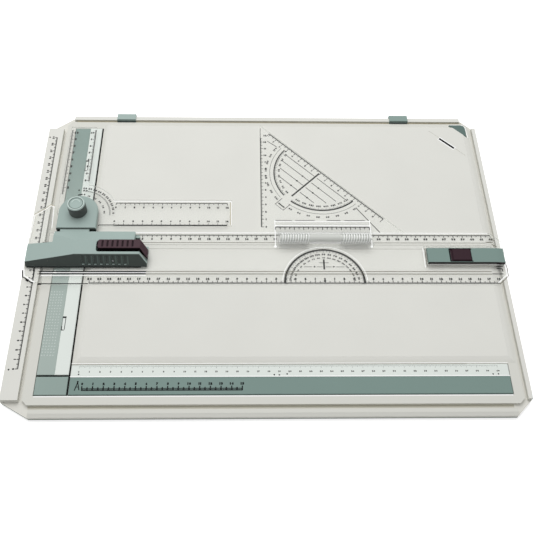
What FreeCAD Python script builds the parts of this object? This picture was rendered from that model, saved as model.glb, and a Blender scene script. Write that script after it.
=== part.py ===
"""Drawing board with a parallel ruler, a quick drawing head, a set square and a rolling ruler.

All sizes are in millimetres. +X runs to the right along the board, +Y to the rear and +Z up.
The origin is the centre of the footprint, on the table that the rubber feet stand on.
Places on the board are measured from the zero of its two printed scales (zero_x, zero_y), and
places on the parallel ruler from the zero of the scales and the ruler's lower edge.
"""
import FreeCAD, Part

import os

import Sketcher

# ----------------------------------------------------------------------------- driving sizes

BOARD = {
    "board_width": 498.0,
    "board_depth": 371.0,
    "plateau_height": 10.0,
    "border_height": 8.4,
    "groove_floor": 5.0,
    "rim_bottom": 1.5,
    "left_rail_height": 10.3,
    "side_rail_height": 9.6,
    "lip_height": 8.2,
    "lip_drop": 1.4,
    "zero_from_left": 69.7,
    "zero_from_front": 47.3,
    "left_rail_width": 16.7,
    "left_groove_width": 3.5,
    "right_rail_width": 4.2,
    "right_groove_width": 3.1,
    "rear_rail_width": 5.2,
    "rear_groove_width": 2.5,
    "lip_width": 7.1,
    "front_groove_width": 4.7,
    "cut_front_left_x": 27.4,
    "cut_front_left_y": 15.9,
    "cut_rear_left_x": 25.1,
    "cut_rear_left_y": 19.7,
    "cut_front_right": 16.0,
    "cut_rear_right": 15.0,
    "rail_end_gap": 2.0,
    "border_cut": 5.0,
    "plateau_front": 12.4,
    "plateau_front_bevel": 6.6,
    "plateau_left_bevel": 6.0,
    "plateau_right": 15.8,
    "plateau_right_bevel": 7.4,
    "plateau_rear": 14.4,
    "plateau_rear_bevel": 1.6,
    "skin": 2.4,
    "wall": 2.2,
    "rear_margin": 16.0,
    "stiffener": 1.6,
    "stiffener_height": 4.0,
    "stiffener_pitch_x": 52.0,
    "stiffener_pitch_y": 58.0,
    "slit_width": 1.4,
    "slit_depth": 1.5,
    "slit_reach": 21.4,
    "slit_shallow": 0.3,
    "slit_tail": 15.6,
    "slit_from_right": 36.9,
    "slit_from_rear": 39.0,
}

BARS = {
    "recess_floor": 4.2,
    "bar_top": 9.2,
    "bar_gap": 0.7,
    "bar_seam": 1.8,
    "bar_shell": 1.8,
    "bar_left": 39.2,
    "bar_front": 25.9,
    "grip_width": 16.7,
    "jaw_width": 13.4,
    "strip_width": 12.1,
    "bottom_bar_width": 18.4,
    "bar_right_margin": 17.7,
    "clamp_rear_margin": 18.5,
    "clamp_thickness": 2.0,
    "clamp_seat_gap": 0.2,
    "rod_radius": 1.0,
    "rod_height": 6.1,
    "rod_clearance": 0.05,
    "lug_width": 10.0,
    "lug_radius": 1.9,
    "lug_drop": 1.6,
    "lug_flare": 1.9,
    "lug_flare_height": 0.6,
    "lug_pitch": 96.0,
    "lug_first": 20.0,
    "saddle_gap": 0.4,
    "saddle_width": 6.0,
    "rod_overlap": 4.0,
    "window_width": 3.2,
    "window_length": 15.0,
    "window_place_low": 48.9,
    "window_place_high": 249.0,
    "window_gap": 0.4,
    "window_depth": 1.4,
    "window_sink": 0.2,
    "leaf_thickness": 0.4,
    "leaf_width": 8.0,
    "leaf_length": 9.0,
    "leaf_contact_gap": 0.1,
    "leaf_inset": 1.0,
    "screw_radius": 1.25,
    "screw_head_radius": 2.6,
    "screw_head_height": 1.2,
    "screw_gap": 0.15,
    "boss_radius": 2.4,
    "bar_screw_pitch": 260.0,
    "bar_screw_first": 78.0,
    "edge_break": 0.4,
    "corner_tip": 18.4,
    "corner_tip_round": 4.6,
    "corner_tip_rise": 0.4,
    "corner_tip_inset_x": 4.7,
    "corner_tip_inset_y": 3.0,
}

FEET_AND_CLIPS = {
    "foot_radius": 7.0,
    "foot_recess": 1.0,
    "foot_taper": 0.6,
    "foot_left": 28.0,
    "foot_right": 26.0,
    "foot_front": 27.0,
    "foot_rear": 14.0,
    "clip_width": 21.4,
    "clip_left_place": 7.1,
    "clip_right_place": 327.8,
    "clip_thickness": 1.8,
    "clip_reach": 4.4,
    "clip_air": 0.15,
    "clip_lip_depth": 2.6,
    "clip_lip_width": 1.6,
    "clip_heel": 1.1,
    "clip_heel_length": 6.0,
    "clip_round": 1.2,
}

RULER = {
    "ruler_reading": 92.0,
    "blade_width": 63.5,
    "blade_lift": 0.8,
    "blade_thickness": 2.2,
    "strip_thickness": 1.4,
    "strip_low": 12.3,
    "strip_high": 12.0,
    "strip_slope": 3.0,
    "blade_left": 48.5,
    "blade_overhang": 1.3,
    "blade_cut": 10.8,
    "plate_width": 18.8,
    "plate_thickness": 2.0,
    "plate_rise": 101.4,
    "plate_start": 2.5,
    "plate_cut_x": 16.4,
    "plate_cut_y": 12.2,
    "plate_nose_x": 9.0,
    "plate_nose_y": 12.5,
    "channel_depth": 0.6,
    "channel_width": 4.6,
    "channel_edge": 1.6,
    "shoe_side_gap": 0.1,
    "shoe_floor_gap": 0.3,
    "shoe_round": 1.2,
    "left_shoe_start": 5.0,
    "left_shoe_length": 92.0,
    "right_shoe_start": 8.0,
    "right_shoe_length": 18.0,
    "right_shoe_gap": 16.0,
}

RIGHT_END = {
    "cover_length": 80.4,
    "cover_from_end": 0.8,
    "cover_start_y": 23.9,
    "cover_width": 17.9,
    "cover_height": 4.0,
    "cover_wall": 0.9,
    "cover_roof": 1.0,
    "cover_bend": 7.8,
    "cover_bend_drop": 0.7,
    "cover_skirt": 1.1,
    "cover_table_gap": 0.3,
    "tray_wall": 2.0,
    "tray_gap": 1.0,
    "tray_height": 2.4,
    "button_length": 19.4,
    "button_place": 26.1,
    "button_gap_left": 2.2,
    "button_gap": 0.6,
    "window_front": 1.8,
    "window_rear": 0.5,
    "button_flange": 0.7,
    "button_flange_reach": 1.0,
    "button_proud": 0.5,
    "button_bevel": 0.9,
    "stem_length": 3.0,
    "stem_width": 5.0,
    "stem_place": 10.0,
    "arm_thickness": 0.5,
    "arm_width": 5.0,
    "arm_overrun": 0.5,
    "arm_lift": 0.9,
    "arm_pin_radius": 0.6,
    "arm_pin_place": 24.5,
    "arm_pin_rise": 1.4,
    "arm_lug_radius": 1.2,
    "arm_air": 0.1,
    "pin_seat": 0.5,
    "right_pad_length": 1.8,
    "right_pad_width": 8.0,
    "right_pad_from_end": 2.6,
    "pad_air": 0.1,
    "notch_reach": 6.6,
    "notch_side": 1.1,
    "cover_screw_left": 7.5,
    "cover_screw_right": 62.0,
    "cover_screw_inset": 2.9,
}

HEAD = {
    "head_front": 20.6,
    "head_depth": 24.4,
    "head_height": 13.0,
    "head_left": 67.3,
    "head_left_height": 5.2,
    "head_crest": 16.4,
    "head_right": 49.3,
    "head_toe": 7.2,
    "head_toe_height": 3.5,
    "head_slant": 7.1,
    "head_wall": 1.8,
    "head_round": 1.2,
    "saddle_left": 41.0,
    "saddle_right": 43.0,
    "saddle_depth": 14.5,
    "saddle_rear_height": 7.2,
    "saddle_roof": 5.4,
    "saddle_corner": 2.0,
    "tab_length": 4.2,
    "tab_depth": 3.4,
    "tab_height": 5.0,
    "tab_place": 3.4,
    "groove_first": 9.4,
    "groove_pitch": 6.1,
    "groove_width": 2.6,
    "groove_depth": 0.8,
    "groove_low": 2.2,
    "groove_high": 11.2,
    "lever_left": 7.0,
    "lever_right": 50.0,
    "lever_front": 33.2,
    "lever_width": 10.6,
    "lever_proud": 3.0,
    "lever_height": 10.0,
    "lever_toe": 7.2,
    "lever_toe_shift": 6.2,
    "lever_toe_low": 3.6,
    "lever_toe_high": 6.4,
    "lever_bevel": 0.4,
    "lever_corner": 2.2,
    "slot_corner": 3.0,
    "lever_gap_left": 2.0,
    "lever_gap_front": 2.5,
    "lever_gap_rear": 0.8,
    "lever_slot_depth": 10.6,
    "lever_rib_first": 3.8,
    "lever_rib_pitch": 5.1,
    "lever_rib_width": 2.1,
    "lever_rib_inset": 1.6,
    "lever_rib_depth": 0.6,
    "lever_pin_radius": 1.5,
    "lever_pin_left": 15.0,
    "lever_pin_rise": 4.0,
    "lever_pin_length": 15.0,
    "lever_arm_width": 7.0,
    "lever_arm_height": 2.0,
    "lever_arm_thin": 1.4,
    "lever_arm_air": 0.4,
    "lever_arm_left": 62.0,
    "lever_arm_right": 40.0,
    "lever_web": 6.0,
    "lug_plate": 2.5,
    "lug_half": 4.0,
    "lug_air": 0.5,
    "left_pad_radius": 3.0,
    "left_pad_left": 59.0,
    "pad_hole_air": 0.6,
    "head_screw_left": 44.0,
    "head_screw_right": 22.0,
    "head_screw_y": 4.4,
    "head_screw_depth": 6.0,
}

DRAWING_HEAD = {
    "pivot_x": 20.0,
    "pivot_y": 86.0,
    "hub_radius": 20.7,
    "hub_front": 22.1,
    "hub_bottom": 15.4,
    "hub_top": 20.0,
    "hub_bevel": 0.8,
    "tongue_width": 30.2,
    "tongue_shift": 1.3,
    "tongue_thickness": 2.8,
    "tongue_insert": 8.5,
    "tongue_air": 0.1,
    "stud_radius": 3.0,
    "stud_top_radius": 2.5,
    "stud_flange_radius": 8.0,
    "stud_flange": 0.9,
    "stud_step": 24.0,
    "stud_top": 29.0,
    "fixed_fit": 0.02,
    "running_fit": 0.05,
    "disc_radius": 15.0,
    "disc_thickness": 1.6,
    "disc_air": 0.2,
    "knob_radius": 9.55,
    "knob_bottom": 20.2,
    "knob_top": 34.0,
    "knob_bevel": 0.9,
    "knob_rim": 2.1,
    "knob_dish": 0.7,
    "knob_dish_slope": 0.6,
    "insert_radius": 4.0,
    "insert_low": 21.0,
    "insert_high": 29.6,
    "arms_bottom": 13.2,
    "arms_thickness": 2.0,
    "arm_up_left": 23.3,
    "arm_up_right": 6.0,
    "arm_up_length": 124.1,
    "arm_side_up": 18.8,
    "arm_side_down": 15.4,
    "arm_side_length": 163.3,
    "protractor_radius": 40.0,
    "arms_disc_radius": 20.0,
    "arm_heel_x": 23.2,
    "arm_heel": 5.3,
}

LOOSE_TOOLS = {
    "square_x": 173.9,
    "square_leg": 154.0,
    "square_thickness": 2.0,
    "square_air": 0.1,
    "square_edge_air": 0.1,
    "square_tip": 1.2,
    "roll_x": 188.8,
    "roll_length": 101.6,
    "roll_over_ruler": 21.1,
    "roll_depth": 35.6,
    "roll_plate": 2.0,
    "roll_air": 0.05,
    "roll_frame_height": 6.0,
    "roll_frame_front": 0.9,
    "roll_frame_depth": 16.0,
    "roll_frame_wall": 1.3,
    "roll_frame_end": 3.0,
    "roll_frame_shift": 1.4,
    "roller_radius": 5.6,
    "roller_core_radius": 5.2,
    "roller_place": 9.6,
    "roller_drop": 0.45,
    "roller_end_air": 0.4,
    "axle_radius": 1.0,
    "axle_sink": 1.8,
    "sleeve_length": 31.0,
    "sleeve_wall": 1.6,
    "sleeve_bevel": 0.4,
}

TABLES = (BOARD, BARS, FEET_AND_CLIPS, RULER, RIGHT_END, HEAD, DRAWING_HEAD, LOOSE_TOOLS)

GROOVES_ON_LEVER = 7
GROOVES_ON_HEAD = 8
STIFFENERS_ACROSS = 7
STIFFENERS_ALONG = 4
LUGS_ON_CLAMP = 3
BAR_SCREWS = 2
MAX_NODES = 60
DIAGONAL = 0.70710678

doc = FreeCAD.newDocument("DrawingBoard")
sheet = doc.addObject("Spreadsheet::Sheet", "Sizes")


# ----------------------------------------------------------------------------- sizes as expressions

class Size:
    """A length or angle that keeps its spreadsheet expression beside its present value."""

    def __init__(self, text, value):
        self.text = text
        self.value = value

    def __add__(self, other):
        other = as_size(other)
        return Size("(%s + %s)" % (self.text, other.text), self.value + other.value)

    def __radd__(self, other):
        return as_size(other) + self

    def __sub__(self, other):
        other = as_size(other)
        return Size("(%s - %s)" % (self.text, other.text), self.value - other.value)

    def __rsub__(self, other):
        return as_size(other) - self

    def __mul__(self, other):
        other = as_size(other)
        return Size("(%s * %s)" % (self.text, other.text), self.value * other.value)

    def __rmul__(self, other):
        return as_size(other) * self

    def __truediv__(self, other):
        other = as_size(other)
        return Size("(%s / %s)" % (self.text, other.text), self.value / other.value)

    def __neg__(self):
        return Size("(0 - %s)" % self.text, -self.value)


def as_size(value):
    """Turn a plain number into a size; a size stays as it is."""
    if isinstance(value, Size):
        return value
    return Size("(%r)" % float(value), float(value))


class Sizes:
    """The spreadsheet's driving sizes, one attribute each."""

    def __init__(self, tables):
        row = 1
        for table in tables:
            for name, value in table.items():
                cell = "B%d" % row
                sheet.set("A%d" % row, name)
                sheet.set(cell, repr(value))
                sheet.setAlias(cell, name)
                setattr(self, name, Size("Sizes." + name, value))
                row += 1


d = Sizes(TABLES)
doc.recompute()

# ----------------------------------------------------------------------------- places on the board

left = -(d.board_width + d.blade_overhang) / 2
right = left + d.board_width
blade_right = right + d.blade_overhang
front = -(d.board_depth + d.clip_reach) / 2
rear = front + d.board_depth
zero_x = left + d.zero_from_left
zero_y = front + d.zero_from_front

border_left = left + d.left_rail_width + d.left_groove_width
border_right = right - d.right_rail_width - d.right_groove_width
border_front = front + d.lip_width + d.front_groove_width
border_rear = rear - d.rear_rail_width - d.rear_groove_width

bar_left = zero_x - d.bar_left
bar_front = zero_y - d.bar_front
seam_x = bar_left + d.grip_width
jaw_right = seam_x + d.jaw_width
bottom_bar_left = jaw_right + d.bar_seam
bottom_bar_right = right - d.bar_right_margin
bottom_bar_rear = bar_front + d.bottom_bar_width
strip_rear = bottom_bar_rear + d.strip_width
block_rear = bottom_bar_rear
clamp_front = block_rear + d.bar_seam
clamp_rear = rear - d.clamp_rear_margin
recess_right = jaw_right + d.bar_seam

# ----------------------------------------------------------------------------- places on the ruler

ruler_y = zero_y + d.ruler_reading
ruler_rear = ruler_y + d.blade_width
blade_left = zero_x - d.blade_left
blade_bottom = d.plateau_height + d.blade_lift
blade_top = blade_bottom + d.blade_thickness
strip_top = blade_bottom + d.strip_thickness
plate_left = blade_left - d.plate_width
plate_top = blade_bottom + d.plate_thickness

cover_right = right - d.cover_from_end
cover_left = cover_right - d.cover_length
cover_front = ruler_y + d.cover_start_y
cover_rear = cover_front + d.cover_width
cover_top = blade_top + d.cover_height
cover_ceiling = cover_top - d.cover_roof
button_left = cover_left + d.button_place
button_right = button_left + d.button_length
arm_pin_x = right - d.arm_pin_place
arm_pin_z = blade_top + d.arm_pin_rise
arm_middle = cover_front + d.cover_width / 2
arm_low = blade_top + d.arm_lift
arm_high = arm_low + d.arm_thickness
flange_top = cover_ceiling - d.arm_air
flange_low = flange_top - d.button_flange
pad_right = right - d.right_pad_from_end

head_front = ruler_y + d.head_front
head_rear = head_front + d.head_depth
head_top = blade_top + d.head_height
head_left = zero_x - d.head_left
head_right = zero_x + d.head_right
head_toe = head_right + d.head_toe
head_crest = zero_x - d.head_crest
head_left_top = blade_top + d.head_left_height
saddle_rear = head_rear + d.saddle_depth
lever_left = zero_x + d.lever_left
lever_right = zero_x + d.lever_right
lever_front = ruler_y + d.lever_front
lever_rear = lever_front + d.lever_width
lever_top = head_top + d.lever_proud
lever_low = lever_top - d.lever_height
lever_middle = lever_front + d.lever_width / 2
lever_pin_x = zero_x - d.lever_pin_left
lever_pin_z = blade_top + d.lever_pin_rise

pivot_x = zero_x - d.pivot_x
pivot_y = ruler_y + d.pivot_y
tongue_x = pivot_x - d.tongue_shift
arms_top = d.arms_bottom + d.arms_thickness

roll_left = zero_x + d.roll_x
roll_front = ruler_rear - d.roll_over_ruler
roll_bottom = blade_top + d.roll_air
roll_plate_top = roll_bottom + d.roll_plate
frame_left = roll_left + d.roll_frame_shift
frame_right = frame_left + d.roll_length
roller_y = roll_front + d.roller_place
roller_z = roll_bottom - d.roller_drop + d.roller_radius
roller_left = frame_left + d.roll_frame_end + d.roller_end_air
roller_right = frame_right - d.roll_frame_end - d.roller_end_air


# ----------------------------------------------------------------------------- modelling helpers

def bind(thing, path, value):
    """Tie one property of an object to a size."""
    thing.setExpression(path, as_size(value).text)


def new_body(label):
    """A PartDesign body whose label names its sub-part."""
    body = doc.addObject("PartDesign::Body", label)
    body.Label = label
    return body


def place_body(body, x, y, z=0.0):
    """Put a body's own origin at a place on the board."""
    bind(body, "Placement.Base.x", x)
    bind(body, "Placement.Base.y", y)
    bind(body, "Placement.Base.z", z)


def origin_feature(body, role):
    """The plane or axis of a body's own origin that has this role."""
    for feature in body.Origin.OriginFeatures:
        if feature.Role == role:
            return feature
    raise ValueError("no origin feature " + role)


PLANES = {"x": "YZ_Plane", "y": "XZ_Plane", "z": "XY_Plane"}


def new_sketch(body, axis, start):
    """A sketch across an axis, at a place along it. Its own axes are YZ, XZ or XY."""
    sketch = body.newObject("Sketcher::SketchObject", "Sketch")
    sketch.AttachmentSupport = [(origin_feature(body, PLANES[axis]), "")]
    sketch.MapMode = "FlatFace"
    offset = -as_size(start) if axis == "y" else as_size(start)
    bind(sketch, "AttachmentOffset.Base.z", offset)
    return sketch


def fix_point(sketch, line, u, v):
    """Hold a line's start point at two coordinates of its sketch."""
    for kind, value in (("DistanceX", as_size(u)), ("DistanceY", as_size(v))):
        index = sketch.addConstraint(Sketcher.Constraint(kind, -1, 1, line, 1, value.value))
        sketch.setExpression("Constraints[%d]" % index, value.text)


def draw_polygon(sketch, points):
    """A closed outline through the points, each held by its two coordinates."""
    flat = [FreeCAD.Vector(as_size(u).value, as_size(v).value, 0) for u, v in points]
    first = sketch.GeometryCount
    count = len(points)
    for i in range(count):
        sketch.addGeometry(Part.LineSegment(flat[i], flat[(i + 1) % count]))
    for i in range(count):
        following = first + (i + 1) % count
        sketch.addConstraint(Sketcher.Constraint("Coincident", first + i, 2, following, 1))
    for i, (u, v) in enumerate(points):
        fix_point(sketch, first + i, u, v)


def draw_circle(sketch, u, v, radius):
    """A circle held by its centre and radius."""
    centre = FreeCAD.Vector(as_size(u).value, as_size(v).value, 0)
    circle = Part.Circle(centre, FreeCAD.Vector(0, 0, 1), as_size(radius).value)
    index = sketch.addGeometry(circle)
    for kind, value in (("DistanceX", as_size(u)), ("DistanceY", as_size(v))):
        held = sketch.addConstraint(Sketcher.Constraint(kind, -1, 1, index, 3, value.value))
        sketch.setExpression("Constraints[%d]" % held, value.text)
    size = as_size(radius)
    held = sketch.addConstraint(Sketcher.Constraint("Radius", index, size.value))
    sketch.setExpression("Constraints[%d]" % held, size.text)


def add_prism(body, axis, start, length, outline=None, circles=()):
    """Pad an outline and circles along +axis from start."""
    sketch = new_sketch(body, axis, start)
    if outline:
        draw_polygon(sketch, outline)
    for u, v, radius in circles:
        draw_circle(sketch, u, v, radius)
    pad = body.newObject("PartDesign::Pad", "Pad")
    pad.Profile = sketch
    pad.Reversed = axis == "y"
    bind(pad, "Length", length)
    return pad


def cut_prism(body, axis, start, length, outline=None, circles=()):
    """Pocket an outline and circles along +axis from start."""
    sketch = new_sketch(body, axis, start)
    if outline:
        draw_polygon(sketch, outline)
    for u, v, radius in circles:
        draw_circle(sketch, u, v, radius)
    pocket = body.newObject("PartDesign::Pocket", "Pocket")
    pocket.Profile = sketch
    pocket.Reversed = axis != "y"
    bind(pocket, "Length", length)
    return pocket


def repeat(body, feature, axis, pitch, count):
    """Repeat a feature along one of the body's axes."""
    pattern = body.newObject("PartDesign::LinearPattern", "Pattern")
    pattern.Originals = [feature]
    pattern.Direction = (origin_feature(body, axis + "_Axis"), [""])
    bind(pattern, "Length", as_size(pitch) * (count - 1))
    pattern.Occurrences = count
    body.Tip = pattern
    return pattern


def spin_profile(body, points):
    """Turn an outline, given as radius and height, once round the body's own Z axis."""
    sketch = new_sketch(body, "y", 0.0)
    draw_polygon(sketch, points)
    turned = body.newObject("PartDesign::Revolution", "Revolution")
    turned.Profile = sketch
    turned.ReferenceAxis = (origin_feature(body, "Z_Axis"), [""])
    turned.Angle = 360.0
    return turned


def round_edges(body, base, radius, wanted):
    """Fillet the edges of a feature that the test picks."""
    doc.recompute()
    names = ["Edge%d" % (i + 1) for i, edge in enumerate(base.Shape.Edges) if wanted(edge)]
    fillet = body.newObject("PartDesign::Fillet", "Fillet")
    fillet.Base = (base, names)
    bind(fillet, "Radius", radius)
    return fillet


def bevel_edges(body, base, size, wanted):
    """Chamfer the edges of a feature that the test picks."""
    doc.recompute()
    names = ["Edge%d" % (i + 1) for i, edge in enumerate(base.Shape.Edges) if wanted(edge)]
    chamfer = body.newObject("PartDesign::Chamfer", "Chamfer")
    chamfer.Base = (base, names)
    bind(chamfer, "Size", size)
    return chamfer


def rectangle(u_low, v_low, u_high, v_high):
    """The four corners of a rectangle."""
    return [(u_low, v_low), (u_high, v_low), (u_high, v_high), (u_low, v_high)]


def at_height(height):
    """A test for edges that lie flat at one height."""
    level = as_size(height).value

    def test(edge):
        box = edge.BoundBox
        return abs(box.ZMin - level) < 1e-4 and abs(box.ZMax - level) < 1e-4

    return test


def upright_at(x, y, margin=0.01):
    """A test for the upright edge at one place."""
    place_x = as_size(x).value
    place_y = as_size(y).value

    def test(edge):
        box = edge.BoundBox
        near = abs(box.XMin - place_x) < margin and abs(box.YMin - place_y) < margin
        return near and box.XLength < margin and box.YLength < margin

    return test


def solid_box(name, x, y, z, length, width, height):
    """A Part box with bound place and size."""
    box = doc.addObject("Part::Box", name)
    for path, value in (("Placement.Base.x", x), ("Placement.Base.y", y), ("Placement.Base.z", z),
                        ("Length", length), ("Width", width), ("Height", height)):
        bind(box, path, value)
    return box


ROTATIONS = {
    "x": FreeCAD.Rotation(FreeCAD.Vector(0, 1, 0), 90),
    "y": FreeCAD.Rotation(FreeCAD.Vector(1, 0, 0), -90),
    "z": FreeCAD.Rotation(),
}


def solid_cylinder(name, x, y, z, radius, length, axis="z"):
    """A Part cylinder that runs along +axis from its place."""
    cylinder = doc.addObject("Part::Cylinder", name)
    cylinder.Placement = FreeCAD.Placement(FreeCAD.Vector(0, 0, 0), ROTATIONS[axis])
    for path, value in (("Placement.Base.x", x), ("Placement.Base.y", y), ("Placement.Base.z", z),
                        ("Radius", radius), ("Height", length)):
        bind(cylinder, path, value)
    return cylinder


def solid_cone(name, x, y, z, low_radius, high_radius, length):
    """A Part cone that stands upright."""
    cone = doc.addObject("Part::Cone", name)
    for path, value in (("Placement.Base.x", x), ("Placement.Base.y", y), ("Placement.Base.z", z),
                        ("Radius1", low_radius), ("Radius2", high_radius), ("Height", length)):
        bind(cone, path, value)
    return cone


def fused(name, pieces):
    """One Part fusion of several pieces."""
    fusion = doc.addObject("Part::MultiFuse", name)
    fusion.Shapes = pieces
    fusion.Refine = True
    return fusion


def minus(name, base, tool):
    """One Part cut."""
    result = doc.addObject("Part::Cut", name)
    result.Base = base
    result.Tool = tool
    return result


def grouped(name, pieces):
    """Separate solids kept together in one sub-part."""
    group = doc.addObject("Part::Compound", name)
    group.Links = pieces
    return group


# ----------------------------------------------------------------------------- the board

def board_outline():
    """The board's outline, an oblong with four cut corners."""
    return [
        (left + d.cut_front_left_x, front),
        (right - d.cut_front_right, front),
        (right, front + d.cut_front_right),
        (right, rear - d.cut_rear_right),
        (right - d.cut_rear_right, rear),
        (left + d.cut_rear_left_x, rear),
        (left, rear - d.cut_rear_left_y),
        (left, front + d.cut_front_left_y),
    ]


def border_outline():
    """The raised border inside the grooves."""
    return [
        (border_left + d.border_cut, border_front),
        (border_right - d.border_cut, border_front),
        (border_right, border_front + d.border_cut),
        (border_right, border_rear - d.border_cut),
        (border_right - d.border_cut, border_rear),
        (border_left + d.border_cut, border_rear),
        (border_left, border_rear - d.border_cut),
        (border_left, border_front + d.border_cut),
    ]


def plateau(body):
    """The drawing face, with a bevel down to the border on every side."""
    low = new_sketch(body, "z", d.border_height)
    draw_polygon(low, rectangle(
        zero_x - d.plateau_left_bevel,
        zero_y + d.plateau_front - d.plateau_front_bevel,
        right - d.plateau_right + d.plateau_right_bevel,
        rear - d.plateau_rear + d.plateau_rear_bevel))
    high = new_sketch(body, "z", d.plateau_height)
    draw_polygon(high, rectangle(
        zero_x, zero_y + d.plateau_front, right - d.plateau_right, rear - d.plateau_rear))
    loft = body.newObject("PartDesign::AdditiveLoft", "Plateau")
    loft.Profile = low
    loft.Sections = [high]
    loft.Ruled = True


def rails(body):
    """The left scale rail, the right and rear rails and the front lip."""
    floor = d.groove_floor
    add_prism(body, "z", floor, d.left_rail_height - floor, rectangle(
        left, front + d.cut_front_left_y, left + d.left_rail_width, rear - d.cut_rear_left_y))
    add_prism(body, "z", floor, d.side_rail_height - floor, rectangle(
        right - d.right_rail_width, front + d.cut_front_right, right, rear - d.cut_rear_right))
    add_prism(body, "z", floor, d.side_rail_height - floor, rectangle(
        left + d.cut_rear_left_x + d.rail_end_gap, rear - d.rear_rail_width,
        right - d.cut_rear_right - d.rail_end_gap, rear))
    lip_left = left + d.cut_front_left_x
    lip_length = right - d.cut_front_right - lip_left
    add_prism(body, "x", lip_left, lip_length, [
        (front, floor),
        (front + d.lip_width, floor),
        (front + d.lip_width, d.lip_height),
        (front + d.lip_width / 2, d.lip_height),
        (front, d.lip_height - d.lip_drop)])


def bar_recess(body):
    """The L-shaped recess for the clamp bar, the corner block and the bottom bar."""
    depth = d.plateau_height - d.recess_floor
    low = d.recess_floor
    cut_prism(body, "z", low, depth, rectangle(
        bar_left - d.bar_gap, bar_front - d.bar_gap, recess_right, clamp_rear + d.bar_gap))
    cut_prism(body, "z", low, depth, rectangle(
        jaw_right, bar_front - d.bar_gap, bottom_bar_right + d.bar_gap, strip_rear + d.bar_gap))
    shelf_left = jaw_right - d.jaw_width / 2
    shelf_top = d.bar_top - d.clamp_thickness - d.clamp_seat_gap
    add_prism(body, "z", low, shelf_top - low, rectangle(
        shelf_left, clamp_front, recess_right, clamp_rear))


def rod_saddles(body):
    """Upstands that carry the clamp rod beside each lug of the clamp bar."""
    low = d.recess_floor
    for i in range(LUGS_ON_CLAMP):
        lug_front = clamp_front + d.lug_first + d.lug_pitch * i
        for start in (lug_front - d.saddle_gap - d.saddle_width,
                      lug_front + d.lug_width + d.saddle_gap):
            add_prism(body, "z", low, d.rod_height - low, rectangle(
                seam_x - d.lug_radius, start, seam_x + d.lug_radius, start + d.saddle_width))
    run = clamp_front + d.lug_first - d.saddle_gap - d.saddle_width
    cut_prism(body, "y", run, d.lug_pitch * (LUGS_ON_CLAMP - 1) + d.lug_width
              + (d.saddle_gap + d.saddle_width) * 2,
              circles=[(seam_x, d.rod_height, d.rod_radius)])


def underside(body):
    """The hollow under the drawing face with its stiffening ribs, and the hollow left rail."""
    low = d.rim_bottom
    ceiling = d.plateau_height - d.skin
    hollow_left = recess_right + d.skin
    hollow_right = border_right - d.wall
    hollow_front = strip_rear + d.bar_gap + d.skin
    hollow_rear = border_rear - d.rear_margin
    cut_prism(body, "z", low, ceiling - low, rectangle(
        hollow_left, hollow_front, hollow_right, hollow_rear))
    cut_prism(body, "z", low, d.left_rail_height - d.skin - low, rectangle(
        left + d.wall, front + d.cut_front_left_y + d.wall,
        left + d.left_rail_width - d.wall, rear - d.cut_rear_left_y - d.wall))
    rib_low = ceiling - d.stiffener_height
    across = add_prism(body, "z", rib_low, d.stiffener_height, rectangle(
        hollow_left + d.stiffener_pitch_x, hollow_front,
        hollow_left + d.stiffener_pitch_x + d.stiffener, hollow_rear))
    repeat(body, across, "X", d.stiffener_pitch_x, STIFFENERS_ACROSS)
    along = add_prism(body, "z", rib_low, d.stiffener_height, rectangle(
        hollow_left, hollow_front + d.stiffener_pitch_y,
        hollow_right, hollow_front + d.stiffener_pitch_y + d.stiffener))
    repeat(body, along, "Y", d.stiffener_pitch_y, STIFFENERS_ALONG)


def foot_places():
    """The feet's names and centres."""
    return [
        ("rubber_foot_front_left", left + d.foot_left, front + d.foot_front),
        ("rubber_foot_front_right", right - d.foot_right, front + d.foot_front),
        ("rubber_foot_rear_left", left + d.foot_left, rear - d.foot_rear),
        ("rubber_foot_rear_right", right - d.foot_right, rear - d.foot_rear),
    ]


def bar_screw_places():
    """The screws under the bottom bar, one by one, and the one under the corner block."""
    places = [(bar_left + d.grip_width, bar_front + d.bottom_bar_width / 2)]
    for i in range(BAR_SCREWS):
        places.append((bottom_bar_left + d.bar_screw_first + d.bar_screw_pitch * i,
                       bar_front + d.bottom_bar_width / 2))
    return places


def corner_slit(body):
    """The slit behind the rear right corner that holds a sheet's corner, with its shallow tails."""
    middle_x = right - d.slit_from_right
    middle_y = rear - d.slit_from_rear
    for reach, depth in ((d.slit_reach / 2 + d.slit_tail, d.slit_shallow),
                         (d.slit_reach / 2, d.slit_depth)):
        along = reach * DIAGONAL
        across = d.slit_width * DIAGONAL / 2
        cut_prism(body, "z", d.plateau_height - depth, depth, [
            (middle_x - along - across, middle_y + along - across),
            (middle_x + along - across, middle_y - along - across),
            (middle_x + along + across, middle_y - along + across),
            (middle_x - along + across, middle_y + along + across)])


def corner_tip_outline():
    """The small three-cornered inlay at the rear right corner of the drawing face."""
    corner_x = border_right - d.corner_tip_inset_x
    corner_y = border_rear - d.corner_tip_inset_y
    rounding = d.corner_tip_round
    inset = rounding * (1.0 - DIAGONAL)
    return [
        (corner_x - d.corner_tip, corner_y),
        (corner_x, corner_y - d.corner_tip),
        (corner_x, corner_y - rounding),
        (corner_x - inset, corner_y - inset),
        (corner_x - rounding, corner_y),
    ]


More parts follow.
